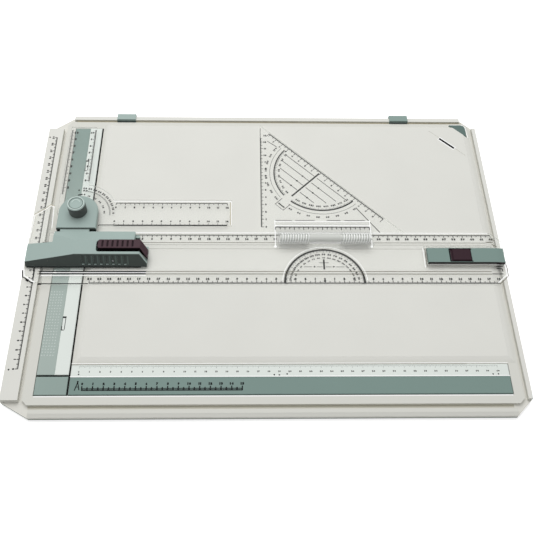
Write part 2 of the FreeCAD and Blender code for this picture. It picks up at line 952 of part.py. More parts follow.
def board_shell():
    """The moulded board."""
    body = new_body("board_shell")
    add_prism(body, "z", d.rim_bottom, d.groove_floor - d.rim_bottom, board_outline())
    rails(body)
    add_prism(body, "z", d.groove_floor, d.border_height - d.groove_floor, border_outline())
    plateau(body)
    bar_recess(body)
    rod_saddles(body)
    underside(body)
    corner_slit(body)
    cut_prism(body, "z", d.border_height, d.plateau_height - d.border_height,
              corner_tip_outline())
    for _, x, y in foot_places():
        cut_prism(body, "z", d.rim_bottom, d.foot_recess, circles=[(x, y, d.foot_radius)])
    for x, y in bar_screw_places():
        cut_prism(body, "z", d.rim_bottom, d.screw_head_height,
                  circles=[(x, y, d.screw_head_radius + d.screw_gap)])
        cut_prism(body, "z", d.rim_bottom, d.recess_floor - d.rim_bottom,
                  circles=[(x, y, d.screw_radius + d.screw_gap)])
    return body


def rubber_foot(name, x, y):
    """One tapered rubber foot, seated in its recess."""
    return solid_cone(name, x, y, 0.0, d.foot_radius - d.foot_taper, d.foot_radius,
                      d.rim_bottom + d.foot_recess)


def screw(name, x, y, z, length):
    """A pan-head screw that is driven upwards."""
    head = solid_cylinder(name + "_head", x, y, z, d.screw_head_radius, d.screw_head_height)
    shank = solid_cylinder(name + "_shank", x, y, z, d.screw_radius, length)
    return fused(name, [head, shank])


def bar_screws():
    """The screws that hold the bottom bar and the corner block."""
    length = d.bar_top - d.bar_shell - d.rim_bottom
    pieces = []
    for i, (x, y) in enumerate(bar_screw_places()):
        pieces.append(screw("bar_screw_%d" % (i + 1), x, y, d.rim_bottom, length))
    return grouped("bar_screws", pieces)


def hollow_bar(label, x_low, y_low, x_high, y_high, bosses):
    """A bar that stands in the recess: an upturned tray with screw bosses."""
    body = new_body(label)
    height = d.bar_top - d.recess_floor
    base = add_prism(body, "z", d.recess_floor, height, rectangle(x_low, y_low, x_high, y_high))
    bevel_edges(body, base, d.edge_break, at_height(d.bar_top))
    shell = d.bar_shell
    cut_prism(body, "z", d.recess_floor, height - shell, rectangle(
        x_low + shell, y_low + shell, x_high - shell, y_high - shell))
    for x, y in bosses:
        add_prism(body, "z", d.recess_floor, height - shell, circles=[(x, y, d.boss_radius)])
        cut_prism(body, "z", d.recess_floor, height - shell, circles=[(x, y, d.screw_radius)])
    return body


def corner_block():
    """The block that fills the recess's corner."""
    return hollow_bar("corner_block", bar_left, bar_front, jaw_right, block_rear,
                      bar_screw_places()[:1])


def bottom_bar():
    """The grey bar along the front edge."""
    return hollow_bar("bottom_bar", bottom_bar_left, bar_front, bottom_bar_right, bottom_bar_rear,
                      bar_screw_places()[1:])


def bottom_scale_strip():
    """The pale scale strip behind the bottom bar."""
    return hollow_bar("bottom_scale_strip", bottom_bar_left, bottom_bar_rear, bottom_bar_right,
                      strip_rear, [])


def paper_corner():
    """The inlay at the rear right corner."""
    body = new_body("paper_corner")
    height = d.plateau_height + d.corner_tip_rise - d.border_height
    base = add_prism(body, "z", d.border_height, height, corner_tip_outline())
    bevel_edges(body, base, d.edge_break, at_height(d.plateau_height + d.corner_tip_rise))
    return body


# ----------------------------------------------------------------------------- the clamp bar

def window_places():
    """The middles of the two small windows in the clamp bar's seam."""
    return (zero_y + d.window_place_low, zero_y + d.window_place_high)


def clamp_grip():
    """The grey side of the clamp bar, with the lugs that turn on the rod."""
    body = new_body("clamp_grip")
    low = d.bar_top - d.clamp_thickness
    base = add_prism(body, "z", low, d.clamp_thickness, rectangle(
        bar_left, clamp_front, seam_x, clamp_rear))
    bevel_edges(body, base, d.edge_break, at_height(d.bar_top))
    for i in range(LUGS_ON_CLAMP):
        start = clamp_front + d.lug_first + d.lug_pitch * i
        add_prism(body, "y", start, d.lug_width, [
            (seam_x - d.lug_radius, d.rod_height - d.lug_drop),
            (seam_x + d.lug_radius, d.rod_height - d.lug_drop),
            (seam_x + d.lug_radius, low),
            (seam_x - d.lug_radius - d.lug_flare, low),
            (seam_x - d.lug_radius, low - d.lug_flare_height)])
    cut_prism(body, "y", clamp_front, clamp_rear - clamp_front,
              circles=[(seam_x, d.rod_height, d.rod_radius + d.rod_clearance)])
    return body


def clamp_jaw():
    """The pale side of the clamp bar, which holds the sheet's edge."""
    body = new_body("clamp_jaw")
    low = d.bar_top - d.clamp_thickness
    base = add_prism(body, "z", low, d.clamp_thickness, rectangle(
        seam_x, clamp_front, jaw_right, clamp_rear))
    bevel_edges(body, base, d.edge_break, at_height(d.bar_top))
    gap = d.window_gap
    window_low = d.bar_top - d.window_depth
    for middle in window_places():
        cut_prism(body, "z", window_low, d.window_depth, rectangle(
            seam_x, middle - d.window_length / 2,
            seam_x + d.window_width, middle + d.window_length / 2))
        add_prism(body, "z", window_low, d.window_depth - d.window_sink, rectangle(
            seam_x + gap, middle - d.window_length / 2 + gap,
            seam_x + d.window_width - gap, middle + d.window_length / 2 - gap))
    return body


def clamp_rod():
    """The steel rod that the clamp bar rocks on."""
    start = clamp_front + d.lug_first - d.saddle_gap - d.rod_overlap
    length = d.lug_pitch * (LUGS_ON_CLAMP - 1) + d.lug_width + (d.saddle_gap + d.rod_overlap) * 2
    return solid_cylinder("clamp_rod", seam_x, start, d.rod_height, d.rod_radius, length, "y")


def leaf_profile(u_low, z_low, z_high):
    """A leaf spring seen from the side: a foot, a rising leg and a bent tip."""
    thin = d.leaf_thickness
    u_high = u_low + d.leaf_length
    third = d.leaf_length / 3
    return [
        (u_low, z_low),
        (u_low + third, z_low),
        (u_high - third, z_high - thin),
        (u_high, z_high - thin),
        (u_high, z_high),
        (u_high - third - thin, z_high),
        (u_low + third - thin, z_low + thin),
        (u_low, z_low + thin),
    ]


def leaf_spring(label, x, y, z_low, z_high):
    """One leaf spring that pushes upwards."""
    body = new_body(label)
    add_prism(body, "y", y, d.leaf_width, leaf_profile(x, z_low, z_high))
    return body


def clamp_springs():
    """The two leaf springs under the clamp bar's grey side."""
    top = d.bar_top - d.clamp_thickness - d.leaf_contact_gap
    pieces = []
    for i in range(2):
        y = clamp_front + d.lug_first + d.lug_pitch * (i + 0.5)
        pieces.append(leaf_spring("clamp_spring_%d" % (i + 1), bar_left + d.leaf_inset, y,
                                  d.recess_floor, top))
    return grouped("clamp_springs", pieces)


# ----------------------------------------------------------------------------- rear clips

def rear_clip(label, place):
    """A clip that hooks over the rear rail into its groove and slides along it."""
    body = new_body(label)
    air = d.clip_air
    low = d.side_rail_height + air
    high = low + d.clip_thickness
    lip_front = rear - d.rear_rail_width - air - d.clip_lip_width
    back = rear + d.clip_reach
    heel_top = d.rim_bottom - air
    add_prism(body, "x", zero_x + place, d.clip_width, [
        (lip_front, low - d.clip_lip_depth),
        (lip_front + d.clip_lip_width, low - d.clip_lip_depth),
        (lip_front + d.clip_lip_width, low),
        (rear + air, low),
        (back - d.clip_thickness, low - d.clip_thickness),
        (back - d.clip_thickness, heel_top),
        (rear - d.clip_heel_length, heel_top),
        (rear - d.clip_heel_length, heel_top - d.clip_heel),
        (back - d.clip_round, heel_top - d.clip_heel),
        (back, heel_top + d.clip_round),
        (back, low - d.clip_round),
        (back - d.clip_thickness, high),
        (lip_front + d.clip_round, high),
        (lip_front, high - d.clip_round)])
    return body


# ----------------------------------------------------------------------------- the parallel ruler

def head_screw_places():
    """The screws that hold the head housing on the blade."""
    y = head_front + d.head_screw_y
    return [(zero_x - d.head_screw_left, y), (zero_x + d.head_screw_right, y)]


def cover_screw_places():
    """The screws that hold the right cover on the blade."""
    return [(cover_left + d.cover_screw_left, arm_middle),
            (cover_left + d.cover_screw_right, cover_rear - d.cover_screw_inset)]


def ruler_blade():
    """The clear blade: two thin scale edges and a thicker middle, with cut right corners."""
    body = new_body("ruler_blade")
    y = ruler_y
    add_prism(body, "x", blade_left, blade_right - blade_left, [
        (y, blade_bottom),
        (ruler_rear, blade_bottom),
        (ruler_rear, strip_top),
        (ruler_rear - d.strip_high, strip_top),
        (ruler_rear - d.strip_high - d.strip_slope, blade_top),
        (y + d.strip_low + d.strip_slope, blade_top),
        (y + d.strip_low, strip_top),
        (y, strip_top)])
    deep = d.blade_thickness
    cut_prism(body, "z", blade_bottom, deep, [
        (blade_right - d.blade_cut, y), (blade_right, y), (blade_right, y + d.blade_cut)])
    cut_prism(body, "z", blade_bottom, deep, [
        (blade_right - d.blade_cut, ruler_rear),
        (blade_right, ruler_rear - d.blade_cut),
        (blade_right, ruler_rear)])
    pad_front = arm_middle - d.right_pad_width / 2
    cut_prism(body, "z", blade_bottom, deep, rectangle(
        blade_right - d.notch_reach, pad_front - d.notch_side,
        blade_right, pad_front + d.right_pad_width + d.notch_side))
    for x, y_screw in head_screw_places() + cover_screw_places():
        cut_prism(body, "z", blade_bottom, d.screw_head_height,
                  circles=[(x, y_screw, d.screw_head_radius + d.screw_gap)])
        cut_prism(body, "z", blade_bottom, deep,
                  circles=[(x, y_screw, d.screw_radius + d.screw_gap)])
    return body


def left_slide_plate():
    """The clear cross plate that rides over the left scale rail."""
    body = new_body("left_slide_plate")
    low = ruler_y + d.plate_start
    high = ruler_y + d.plate_rise
    add_prism(body, "z", blade_bottom, d.plate_thickness, [
        (plate_left + d.plate_nose_x, low),
        (blade_left, low),
        (blade_left, high),
        (plate_left + d.plate_cut_x, high),
        (plate_left, high - d.plate_cut_y),
        (plate_left, low + d.plate_nose_y),
        (plate_left + d.channel_edge, low + d.plate_nose_y / 2)])
    channel_left = blade_left - d.channel_edge - d.channel_width
    cut_prism(body, "z", plate_top - d.channel_depth, d.channel_depth, rectangle(
        channel_left, head_rear + d.channel_edge,
        channel_left + d.channel_width, high - d.channel_edge))
    cut_prism(body, "z", blade_bottom, d.plate_thickness, circles=[
        (zero_x - d.left_pad_left, lever_middle, d.left_pad_radius + d.pad_hole_air)])
    return body


def guide_shoe(body, x_low, x_high, y_low, length):
    """One tongue that runs in a groove, with rounded ends."""
    low = d.groove_floor + d.shoe_floor_gap
    cut = d.shoe_round
    y_high = y_low + length
    add_prism(body, "z", low, blade_bottom - low, [
        (x_low + cut, y_low), (x_high - cut, y_low), (x_high, y_low + cut),
        (x_high, y_high - cut), (x_high - cut, y_high), (x_low + cut, y_high),
        (x_low, y_high - cut), (x_low, y_low + cut)])


def left_guide_shoe():
    """The long tongue in the left groove."""
    body = new_body("left_guide_shoe")
    groove_left = left + d.left_rail_width
    guide_shoe(body, groove_left + d.shoe_side_gap,
               groove_left + d.left_groove_width - d.shoe_side_gap,
               ruler_y + d.left_shoe_start, d.left_shoe_length)
    return body


def right_guide_shoes():
    """The two short tongues in the right groove, one each side of the brake pad."""
    groove_right = right - d.right_rail_width
    x_low = groove_right - d.right_groove_width + d.shoe_side_gap
    x_high = groove_right - d.shoe_side_gap
    pieces = []
    for i in range(2):
        body = new_body("right_guide_shoe_%d" % (i + 1))
        start = ruler_y + d.right_shoe_start + (d.right_shoe_length + d.right_shoe_gap) * i
        guide_shoe(body, x_low, x_high, start, d.right_shoe_length)
        pieces.append(body)
    return grouped("right_guide_shoes", pieces)


def right_tray():
    """The clear upstand round the right cover, open at its right end."""
    body = new_body("right_tray")
    gap = d.tray_gap
    thick = d.tray_wall
    x = cover_left - gap
    y_low = cover_front - gap
    y_high = cover_rear + gap
    end = right - d.blade_cut
    add_prism(body, "z", blade_top, d.tray_height, [
        (x - thick, y_low - thick), (end, y_low - thick), (end, y_low), (x, y_low),
        (x, y_high), (end, y_high), (end, y_high + thick), (x - thick, y_high + thick)])
    return body


def right_cover():
    """The grey cover over the right brake, bent down at the board's edge."""
    body = new_body("right_cover")
    bend = cover_right - d.cover_bend
    skirt_low = blade_bottom + d.cover_table_gap
    base = add_prism(body, "y", cover_front, d.cover_width, [
        (cover_left, blade_top), (cover_right, blade_top),
        (cover_right, cover_top - d.cover_bend_drop),
        (bend, cover_top), (cover_left, cover_top)])
    bevel_edges(body, base, d.edge_break, at_height(cover_top))
    wall = d.cover_wall
    inner_front = cover_front + wall
    inner_right = cover_right - d.cover_skirt
    cut_prism(body, "y", inner_front, d.cover_width - wall * 2, [
        (cover_left + wall, blade_top), (inner_right, blade_top),
        (inner_right, cover_ceiling - d.cover_bend_drop), (bend, cover_ceiling),
        (cover_left + wall, cover_ceiling)])
    skirt_front = arm_middle - (d.right_pad_width + d.notch_side) / 2
    add_prism(body, "z", skirt_low, blade_top + d.arm_lift - skirt_low, rectangle(
        inner_right, skirt_front, cover_right, skirt_front + d.right_pad_width + d.notch_side))
    for x, y in cover_screw_places():
        add_prism(body, "z", blade_top, cover_ceiling - blade_top, circles=[(x, y, d.boss_radius)])
        cut_prism(body, "z", blade_top, cover_ceiling - blade_top, circles=[(x, y, d.screw_radius)])
    cut_prism(body, "z", cover_ceiling, d.cover_roof, rectangle(
        button_left - d.button_gap_left, cover_front + d.window_front,
        button_right + d.button_gap, cover_rear - d.window_rear))
    cut_prism(body, "y", cover_front + wall - d.pin_seat, d.cover_width - wall * 2 + d.pin_seat * 2,
              circles=[(arm_pin_x, arm_pin_z, d.arm_pin_radius + d.fixed_fit)])
    return body


def cover_screws():
    """The screws under the right cover."""
    length = blade_top + d.cover_height / 2 - blade_bottom
    pieces = [screw("cover_screw_%d" % (i + 1), x, y, blade_bottom, length)
              for i, (x, y) in enumerate(cover_screw_places())]
    return grouped("cover_screws", pieces)


def brake_button():
    """The dark brake button with its hidden flange and stem."""
    body = new_body("brake_button")
    inner_front = cover_front + d.cover_wall
    inner_rear = cover_rear - d.cover_wall
    y_low = cover_front + d.window_front + d.button_gap
    y_high = inner_rear - d.clip_air
    cap = add_prism(body, "z", flange_low, cover_top + d.button_proud - flange_low, rectangle(
        button_left, y_low, button_right, y_high))
    bevel_edges(body, cap, d.button_bevel, at_height(cover_top + d.button_proud))
    add_prism(body, "z", flange_low, d.button_flange, rectangle(
        button_left - d.button_gap_left - d.button_flange_reach, inner_front + d.clip_air,
        button_right + d.button_gap + d.button_flange_reach, inner_rear - d.clip_air))
    stem_left = button_left + d.stem_place
    stem_low = arm_high + d.arm_air
    add_prism(body, "z", stem_low, flange_low - stem_low, rectangle(
        stem_left, arm_middle - d.stem_width / 2,
        stem_left + d.stem_length, arm_middle + d.stem_width / 2))
    return body


def button_spring():
    """The leaf spring that lifts the brake button."""
    return leaf_spring("button_spring", button_left - d.leaf_length / 3,
                       arm_middle - d.leaf_width / 2, blade_top, flange_low - d.leaf_contact_gap)


def brake_arm():
    """The arm that the button presses: its far end lifts the right brake pad."""
    body = new_body("brake_arm")
    y = arm_middle - d.arm_width / 2
    arm_left = button_left + d.stem_place - d.arm_overrun
    add_prism(body, "y", y, d.arm_width, rectangle(
        arm_left, arm_low, pad_right, arm_high))
    add_prism(body, "y", y, d.arm_width, circles=[(arm_pin_x, arm_pin_z, d.arm_lug_radius)])
    cut_prism(body, "y", y, d.arm_width,
              circles=[(arm_pin_x, arm_pin_z, d.arm_pin_radius + d.running_fit)])
    return body


def arm_pin():
    """The pin that the brake arm turns on."""
    start = cover_front + d.cover_wall - d.pin_seat
    length = d.cover_width - d.cover_wall * 2 + d.pin_seat * 2
    return solid_cylinder("arm_pin", arm_pin_x, start, arm_pin_z, d.arm_pin_radius, length, "y")


def right_brake_pad():
    """The rubber pad that grips the right rail."""
    low = d.side_rail_height + d.pad_air
    return solid_box("right_brake_pad", pad_right - d.right_pad_length,
                     arm_middle - d.right_pad_width / 2, low,
                     d.right_pad_length, d.right_pad_width, arm_low - low)


# ----------------------------------------------------------------------------- the ruler's head

def head_body(body):
    """The head's outer form: a low box whose top falls to the left and whose front leans back."""
    add_prism(body, "y", head_front, d.head_depth, [
        (head_left, blade_top),
        (head_toe, blade_top),
        (head_toe, blade_top + d.head_toe_height),
        (head_right, head_top),
        (head_left, head_top)])
    middle = head_rear - d.head_depth / 2
    add_prism(body, "x", zero_x - d.saddle_left, d.saddle_left + d.saddle_right, [
        (middle, blade_top),
        (saddle_rear, blade_top),
        (saddle_rear, blade_top + d.saddle_rear_height),
        (head_rear, head_top),
        (middle, head_top)])
    cut_prism(body, "y", head_front, d.head_depth + d.saddle_depth, [
        (head_left, head_left_top),
        (head_crest, head_top),
        (head_left, head_top)])
    span = head_toe - head_left
    leaned = cut_prism(body, "x", head_left, span, [
        (head_front, blade_top),
        (head_front + d.head_slant, head_top),
        (head_front, head_top)])
    return leaned


def is_head_ridge(edge):
    """The ridge between the head's leaning front and its top, and the top's right end."""
    box = edge.BoundBox
    slant_y = (head_front + d.head_slant).value
    high = head_top.value
    along_top = box.ZMin > high - 0.01 and box.YMax < slant_y + 0.01
    return along_top and box.XLength > 1.0


def head_cavities(body):
    """The hollow inside the head, open to the blade."""
    wall = d.head_wall
    inner_front = head_front + d.head_slant + wall
    cut_prism(body, "y", inner_front, head_rear - wall - inner_front, [
        (head_left + wall, blade_top),
        (head_toe - wall, blade_top),
        (head_toe - wall, blade_top + d.head_toe_height - wall / 2),
        (head_right - wall, head_top - wall),
        (head_crest, head_top - wall),
        (head_left + wall, head_left_top - wall / 2)])
    inner_rear = saddle_rear - wall
    low_ceiling = blade_top + d.saddle_rear_height - wall
    high_ceiling = head_top - d.saddle_roof
    start = zero_x - d.saddle_left + wall
    cut_prism(body, "x", start, zero_x + d.saddle_right - wall - start, [
        (head_rear - wall, blade_top),
        (inner_rear, blade_top),
        (inner_rear, low_ceiling),
        (head_rear + wall, high_ceiling),
        (head_rear - wall, high_ceiling)])


def lever_slot(body):
    """The opening in the top for the lock lever, which runs out through the right end."""
    slot_front = lever_front - d.lever_gap_front
    slot_rear = lever_rear + d.lever_gap_rear
    depth = d.lever_slot_depth
    slot_left = lever_left - d.lever_gap_left
    slot = cut_prism(body, "z", head_top - depth, depth, rectangle(
        slot_left, slot_front, lever_right, slot_rear))
    front_corner = upright_at(slot_left, slot_front)
    rear_corner = upright_at(slot_left, slot_rear)
    round_edges(body, slot, d.slot_corner,
                lambda edge: front_corner(edge) or rear_corner(edge))
    floor = blade_top + d.lever_arm_air
    out = head_toe + d.head_wall
    exit_left = zero_x + d.saddle_right + d.head_wall
    cut_prism(body, "z", floor, head_top - floor, [
        (exit_left, slot_front),
        (lever_right, slot_front),
        (out, slot_front - d.lever_toe_shift - d.head_wall),
        (out, head_rear),
        (exit_left, head_rear)])


def front_grooves(body):
    """The finger grooves on the head's leaning front."""
    slope = d.head_slant / d.head_height

    def face_y(rise):
        return head_front + slope * rise

    groove = cut_prism(body, "x", zero_x - d.groove_first, d.groove_width, [
        (face_y(d.groove_low) - d.groove_depth, blade_top + d.groove_low),
        (face_y(d.groove_low) + d.groove_depth, blade_top + d.groove_low),
        (face_y(d.groove_high) + d.groove_depth, blade_top + d.groove_high),
        (face_y(d.groove_high) - d.groove_depth, blade_top + d.groove_high)])
    repeat(body, groove, "X", d.groove_pitch, GROOVES_ON_HEAD)


def pin_lugs(body):
    """The two lugs under the head's top that hold the lever's pin."""
    arm_front = lever_middle - d.lever_arm_width / 2
    arm_rear = arm_front + d.lever_arm_width
    low = lever_pin_z - d.lever_pin_radius * 2
    for start in (arm_front - d.lug_air - d.lug_plate, arm_rear + d.lug_air):
        add_prism(body, "y", start, d.lug_plate, rectangle(
            lever_pin_x - d.lug_half, low, lever_pin_x + d.lug_half, head_top - d.head_wall / 2))
    cut_prism(body, "y", lever_middle - d.lever_pin_length / 2, d.lever_pin_length,
              circles=[(lever_pin_x, lever_pin_z, d.lever_pin_radius + d.fixed_fit)])


def head_housing():
    """The grey housing of the ruler's head."""
    body = new_body("head_housing")
    leaned = head_body(body)
    ridged = round_edges(body, leaned, d.head_round, is_head_ridge)
    round_edges(body, ridged, d.saddle_corner, upright_at(zero_x + d.saddle_right, saddle_rear))
    head_cavities(body)
    lever_slot(body)
    front_grooves(body)
    pin_lugs(body)
    tongue_low = d.hub_bottom - d.tongue_air
    cut_prism(body, "z", tongue_low, d.tongue_thickness + d.tongue_air * 2, rectangle(
        tongue_x - d.tongue_width / 2 - d.tongue_air, saddle_rear - d.head_wall,
        tongue_x + d.tongue_width / 2 + d.tongue_air, saddle_rear))
    tab_x = zero_x + d.saddle_right
    add_prism(body, "z", blade_top, d.tab_height, rectangle(
        tab_x, saddle_rear - d.tab_place - d.tab_depth,
        tab_x + d.tab_length, saddle_rear - d.tab_place))
    for x, y in head_screw_places():
        cut_prism(body, "z", blade_top, d.head_screw_depth, circles=[(x, y, d.screw_radius)])
    return body


def head_screws():
    """The screws that hold the head on the blade."""
    length = blade_top + d.head_screw_depth - d.screw_gap - blade_bottom
    pieces = [screw("head_screw_%d" % (i + 1), x, y, blade_bottom, length)
              for i, (x, y) in enumerate(head_screw_places())]
    return grouped("head_screws", pieces)


def lever_section(y_low, z_low, y_high, z_high):
    """The lever's section: a rectangle whose two upper corners are cut."""
    cut = d.lever_bevel
    return [
        (y_low, z_low),
        (y_high, z_low),
        (y_high, z_high - cut),
        (y_high - cut, z_high),
        (y_low + cut, z_high),
        (y_low, z_high - cut),
    ]


def lever_toe(body):
    """The lever's right end, which bends forward and down over the head's end."""
    high = new_sketch(body, "x", lever_right)
    draw_polygon(high, lever_section(lever_front, lever_low, lever_rear, lever_top))
    low = new_sketch(body, "x", lever_right + d.lever_toe)
    draw_polygon(low, lever_section(
        lever_front - d.lever_toe_shift, blade_top + d.lever_toe_low,
        lever_rear - d.lever_toe_shift, blade_top + d.lever_toe_high))
    loft = body.newObject("PartDesign::AdditiveLoft", "Toe")
    loft.Profile = high
    loft.Sections = [low]
    loft.Ruled = True


def lock_lever():
    """The dark lock lever with ribs across its top."""
    body = new_body("lock_lever")
    length = lever_right - lever_left
    base = add_prism(body, "x", lever_left, length, rectangle(
        lever_front, lever_low, lever_rear, lever_top))
    front_corner = upright_at(lever_left, lever_front)
    rear_corner = upright_at(lever_left, lever_rear)
    rounded = round_edges(body, base, d.lever_corner,
                          lambda edge: front_corner(edge) or rear_corner(edge))
    on_top = at_height(lever_top)
    end = lever_right.value - 0.01
    bevel_edges(body, rounded, d.lever_bevel,
                lambda edge: on_top(edge) and edge.BoundBox.XMin < end)
    lever_toe(body)
    groove = cut_prism(body, "x", lever_left + d.lever_rib_first, d.lever_rib_width, rectangle(
        lever_front + d.lever_rib_inset, lever_top - d.lever_rib_depth,
        lever_rear - d.lever_rib_inset, lever_top + d.lever_rib_depth))
    repeat(body, groove, "X", d.lever_rib_pitch, GROOVES_ON_LEVER)
    return body


def lever_arm():
    """The cranked arm under the lever: it turns on the pin and carries the left brake pad."""
    body = new_body("lever_arm")
    thin_low = blade_top + d.lever_arm_air
    thin_high = thin_low + d.lever_arm_thin
    web_left = lever_pin_x - d.lever_web / 2
    web_right = lever_pin_x + d.lever_web / 2
    under_lever = lever_low - d.lever_arm_height
    y = lever_middle - d.lever_arm_width / 2
    add_prism(body, "y", y, d.lever_arm_width, [
        (zero_x - d.lever_arm_left, thin_low),
        (web_right, thin_low),
        (web_right, under_lever),
        (zero_x + d.lever_arm_right, under_lever),
        (zero_x + d.lever_arm_right, lever_low),
        (web_left, lever_low),
        (web_left, thin_high),
        (zero_x - d.lever_arm_left, thin_high)])
    cut_prism(body, "y", y, d.lever_arm_width,
              circles=[(lever_pin_x, lever_pin_z, d.lever_pin_radius + d.running_fit)])
    return body


def lever_pin():
    """The pin of the lock lever."""
    return solid_cylinder("lever_pin", lever_pin_x, lever_middle - d.lever_pin_length / 2,
                          lever_pin_z, d.lever_pin_radius, d.lever_pin_length, "y")


def lever_spring():
    """The leaf spring that lifts the lock lever."""
    top = lever_low - d.lever_arm_height - d.leaf_contact_gap
    return leaf_spring("lever_spring", lever_left + d.leaf_length * 2,
                       lever_middle - d.leaf_width / 2, blade_top, top)


def left_brake_pad():
    """The rubber pad that grips the left scale rail."""
    low = d.left_rail_height + d.pad_air
    return solid_cylinder("left_brake_pad", zero_x - d.left_pad_left, lever_middle, low,
                          d.left_pad_radius, blade_top + d.lever_arm_air - low)


# ----------------------------------------------------------------------------- the drawing head

def hub_housing():
    """The D-shaped hub over the protractor ruler, with the tongue that plugs into the head."""
    body = new_body("hub_housing")
    height = d.hub_top - d.hub_bottom
    radius = d.hub_radius
    add_prism(body, "z", d.hub_bottom, height, circles=[(pivot_x, pivot_y, radius)])
    base = add_prism(body, "z", d.hub_bottom, height, rectangle(
        pivot_x - radius, pivot_y - d.hub_front, pivot_x + radius, pivot_y))
    bevel_edges(body, base, d.hub_bevel, at_height(d.hub_top))
    cut_prism(body, "z", d.hub_bottom, d.disc_thickness + d.disc_air,
              circles=[(pivot_x, pivot_y, d.disc_radius + d.disc_air)])
    cut_prism(body, "z", d.hub_bottom, height,
              circles=[(pivot_x, pivot_y, d.stud_radius + d.fixed_fit)])
    tongue_front = saddle_rear - d.tongue_insert
    tongue_rear = pivot_y - d.hub_front
    add_prism(body, "z", d.hub_bottom, d.tongue_thickness, rectangle(
        tongue_x - d.tongue_width / 2, tongue_front,
        tongue_x + d.tongue_width / 2, tongue_rear + d.head_wall))
    return body


def pivot_stud():
    """The stud that the protractor ruler turns on, with the flange that lifts it."""
    body = new_body("pivot_stud")
    flange_high = d.arms_bottom - d.disc_air / 2
    spin_profile(body, [
        (0.0, flange_high - d.stud_flange),
        (d.stud_flange_radius, flange_high - d.stud_flange),
        (d.stud_flange_radius, flange_high),
        (d.stud_radius, flange_high),
        (d.stud_radius, d.stud_step),
        (d.stud_top_radius, d.stud_step),
        (d.stud_top_radius, d.stud_top),
        (0.0, d.stud_top)])
    place_body(body, pivot_x, pivot_y)
    return body


def friction_disc():
    """The disc that the knob presses on the protractor ruler."""
    base = solid_cylinder("friction_disc_blank", pivot_x, pivot_y, arms_top, d.disc_radius,
                          d.disc_thickness)
    bore = solid_cylinder("friction_disc_bore", pivot_x, pivot_y, arms_top,
                          d.stud_radius + d.running_fit, d.disc_thickness)
    return minus("friction_disc", base, bore)


def clamp_knob():
    """The round clamping knob with its dished top."""
    body = new_body("clamp_knob")
    radius = d.knob_radius
    top = d.knob_top
    spin_profile(body, [
        (d.insert_radius, d.knob_bottom),
        (radius, d.knob_bottom),
        (radius, top - d.knob_bevel),
        (radius - d.knob_bevel, top),
        (radius - d.knob_rim, top),
        (radius - d.knob_rim - d.knob_dish_slope, top - d.knob_dish),
        (0.0, top - d.knob_dish),
        (0.0, d.insert_high),
        (d.insert_radius, d.insert_high)])
    place_body(body, pivot_x, pivot_y)
    return body


def knob_insert():
    """The threaded brass insert in the knob."""
    body = new_body("knob_insert")
    bore = d.stud_radius + d.running_fit
    thread = d.stud_top_radius + d.running_fit
    step = d.stud_step + d.disc_air
    spin_profile(body, [
        (bore, d.insert_low),
        (d.insert_radius, d.insert_low),
        (d.insert_radius, d.insert_high),
        (thread, d.insert_high),
        (thread, step),
        (bore, step)])
    place_body(body, pivot_x, pivot_y)
    return body


def protractor_ruler():
    """The clear L-shaped ruler with a quarter-round protractor between its arms."""
    low = d.arms_bottom
    thick = d.arms_thickness
    arms = new_body("protractor_arms")
    add_prism(arms, "z", low, thick, [
        (pivot_x - d.arm_up_left, pivot_y),
        (pivot_x, pivot_y),
        (pivot_x + d.arm_heel_x - d.arm_heel, pivot_y - d.arm_side_down - d.arm_heel),
        (pivot_x + d.arm_heel_x, pivot_y - d.arm_side_down),
        (pivot_x + d.arm_side_length, pivot_y - d.arm_side_down),
        (pivot_x + d.arm_side_length, pivot_y + d.arm_side_up),
        (pivot_x + d.arm_up_right, pivot_y + d.arm_side_up),
        (pivot_x + d.arm_up_right, pivot_y + d.arm_up_length),
        (pivot_x - d.arm_up_left, pivot_y + d.arm_up_length)])
    disc = solid_cylinder("protractor_disc", pivot_x, pivot_y, low, d.arms_disc_radius, thick)
    quarter = solid_cylinder("protractor_quarter", pivot_x, pivot_y, low, d.protractor_radius, thick)
    quarter.Angle = 90.0
    blank = fused("protractor_blank", [arms, disc, quarter])
    bore = solid_cylinder("protractor_bore", pivot_x, pivot_y, low, d.stud_radius + d.running_fit,
                          thick)
    return minus("protractor_ruler", blank, bore)


# ----------------------------------------------------------------------------- loose tools

def set_square():
    """The clear 45 degree set square that stands against the ruler's upper edge."""
    body = new_body("set_square")
    x = zero_x + d.square_x
    y = ruler_rear + d.square_edge_air
    tip = d.square_tip
    add_prism(body, "z", d.plateau_height + d.square_air, d.square_thickness, [
        (x, y),
        (x + d.square_leg - tip, y),
        (x + d.square_leg - tip, y + tip),
        (x + tip, y + d.square_leg - tip),
        (x, y + d.square_leg - tip)])
    return body


def rolling_base():
    """The rolling ruler's clear plate, with the window that the roller reaches through."""
    body = new_body("rolling_base")
    add_prism(body, "z", roll_bottom, d.roll_plate, rectangle(
        roll_left, roll_front, roll_left + d.roll_length, roll_front + d.roll_depth))
    inner_front = roll_front + d.roll_frame_front + d.roll_frame_wall
    inner_depth = d.roll_frame_depth - d.roll_frame_wall * 2
    window_right = roll_left + d.roll_length - d.roll_frame_end / 2
    cut_prism(body, "z", roll_bottom, d.roll_plate, rectangle(
        frame_left + d.roll_frame_end, inner_front, window_right, inner_front + inner_depth))
    return body


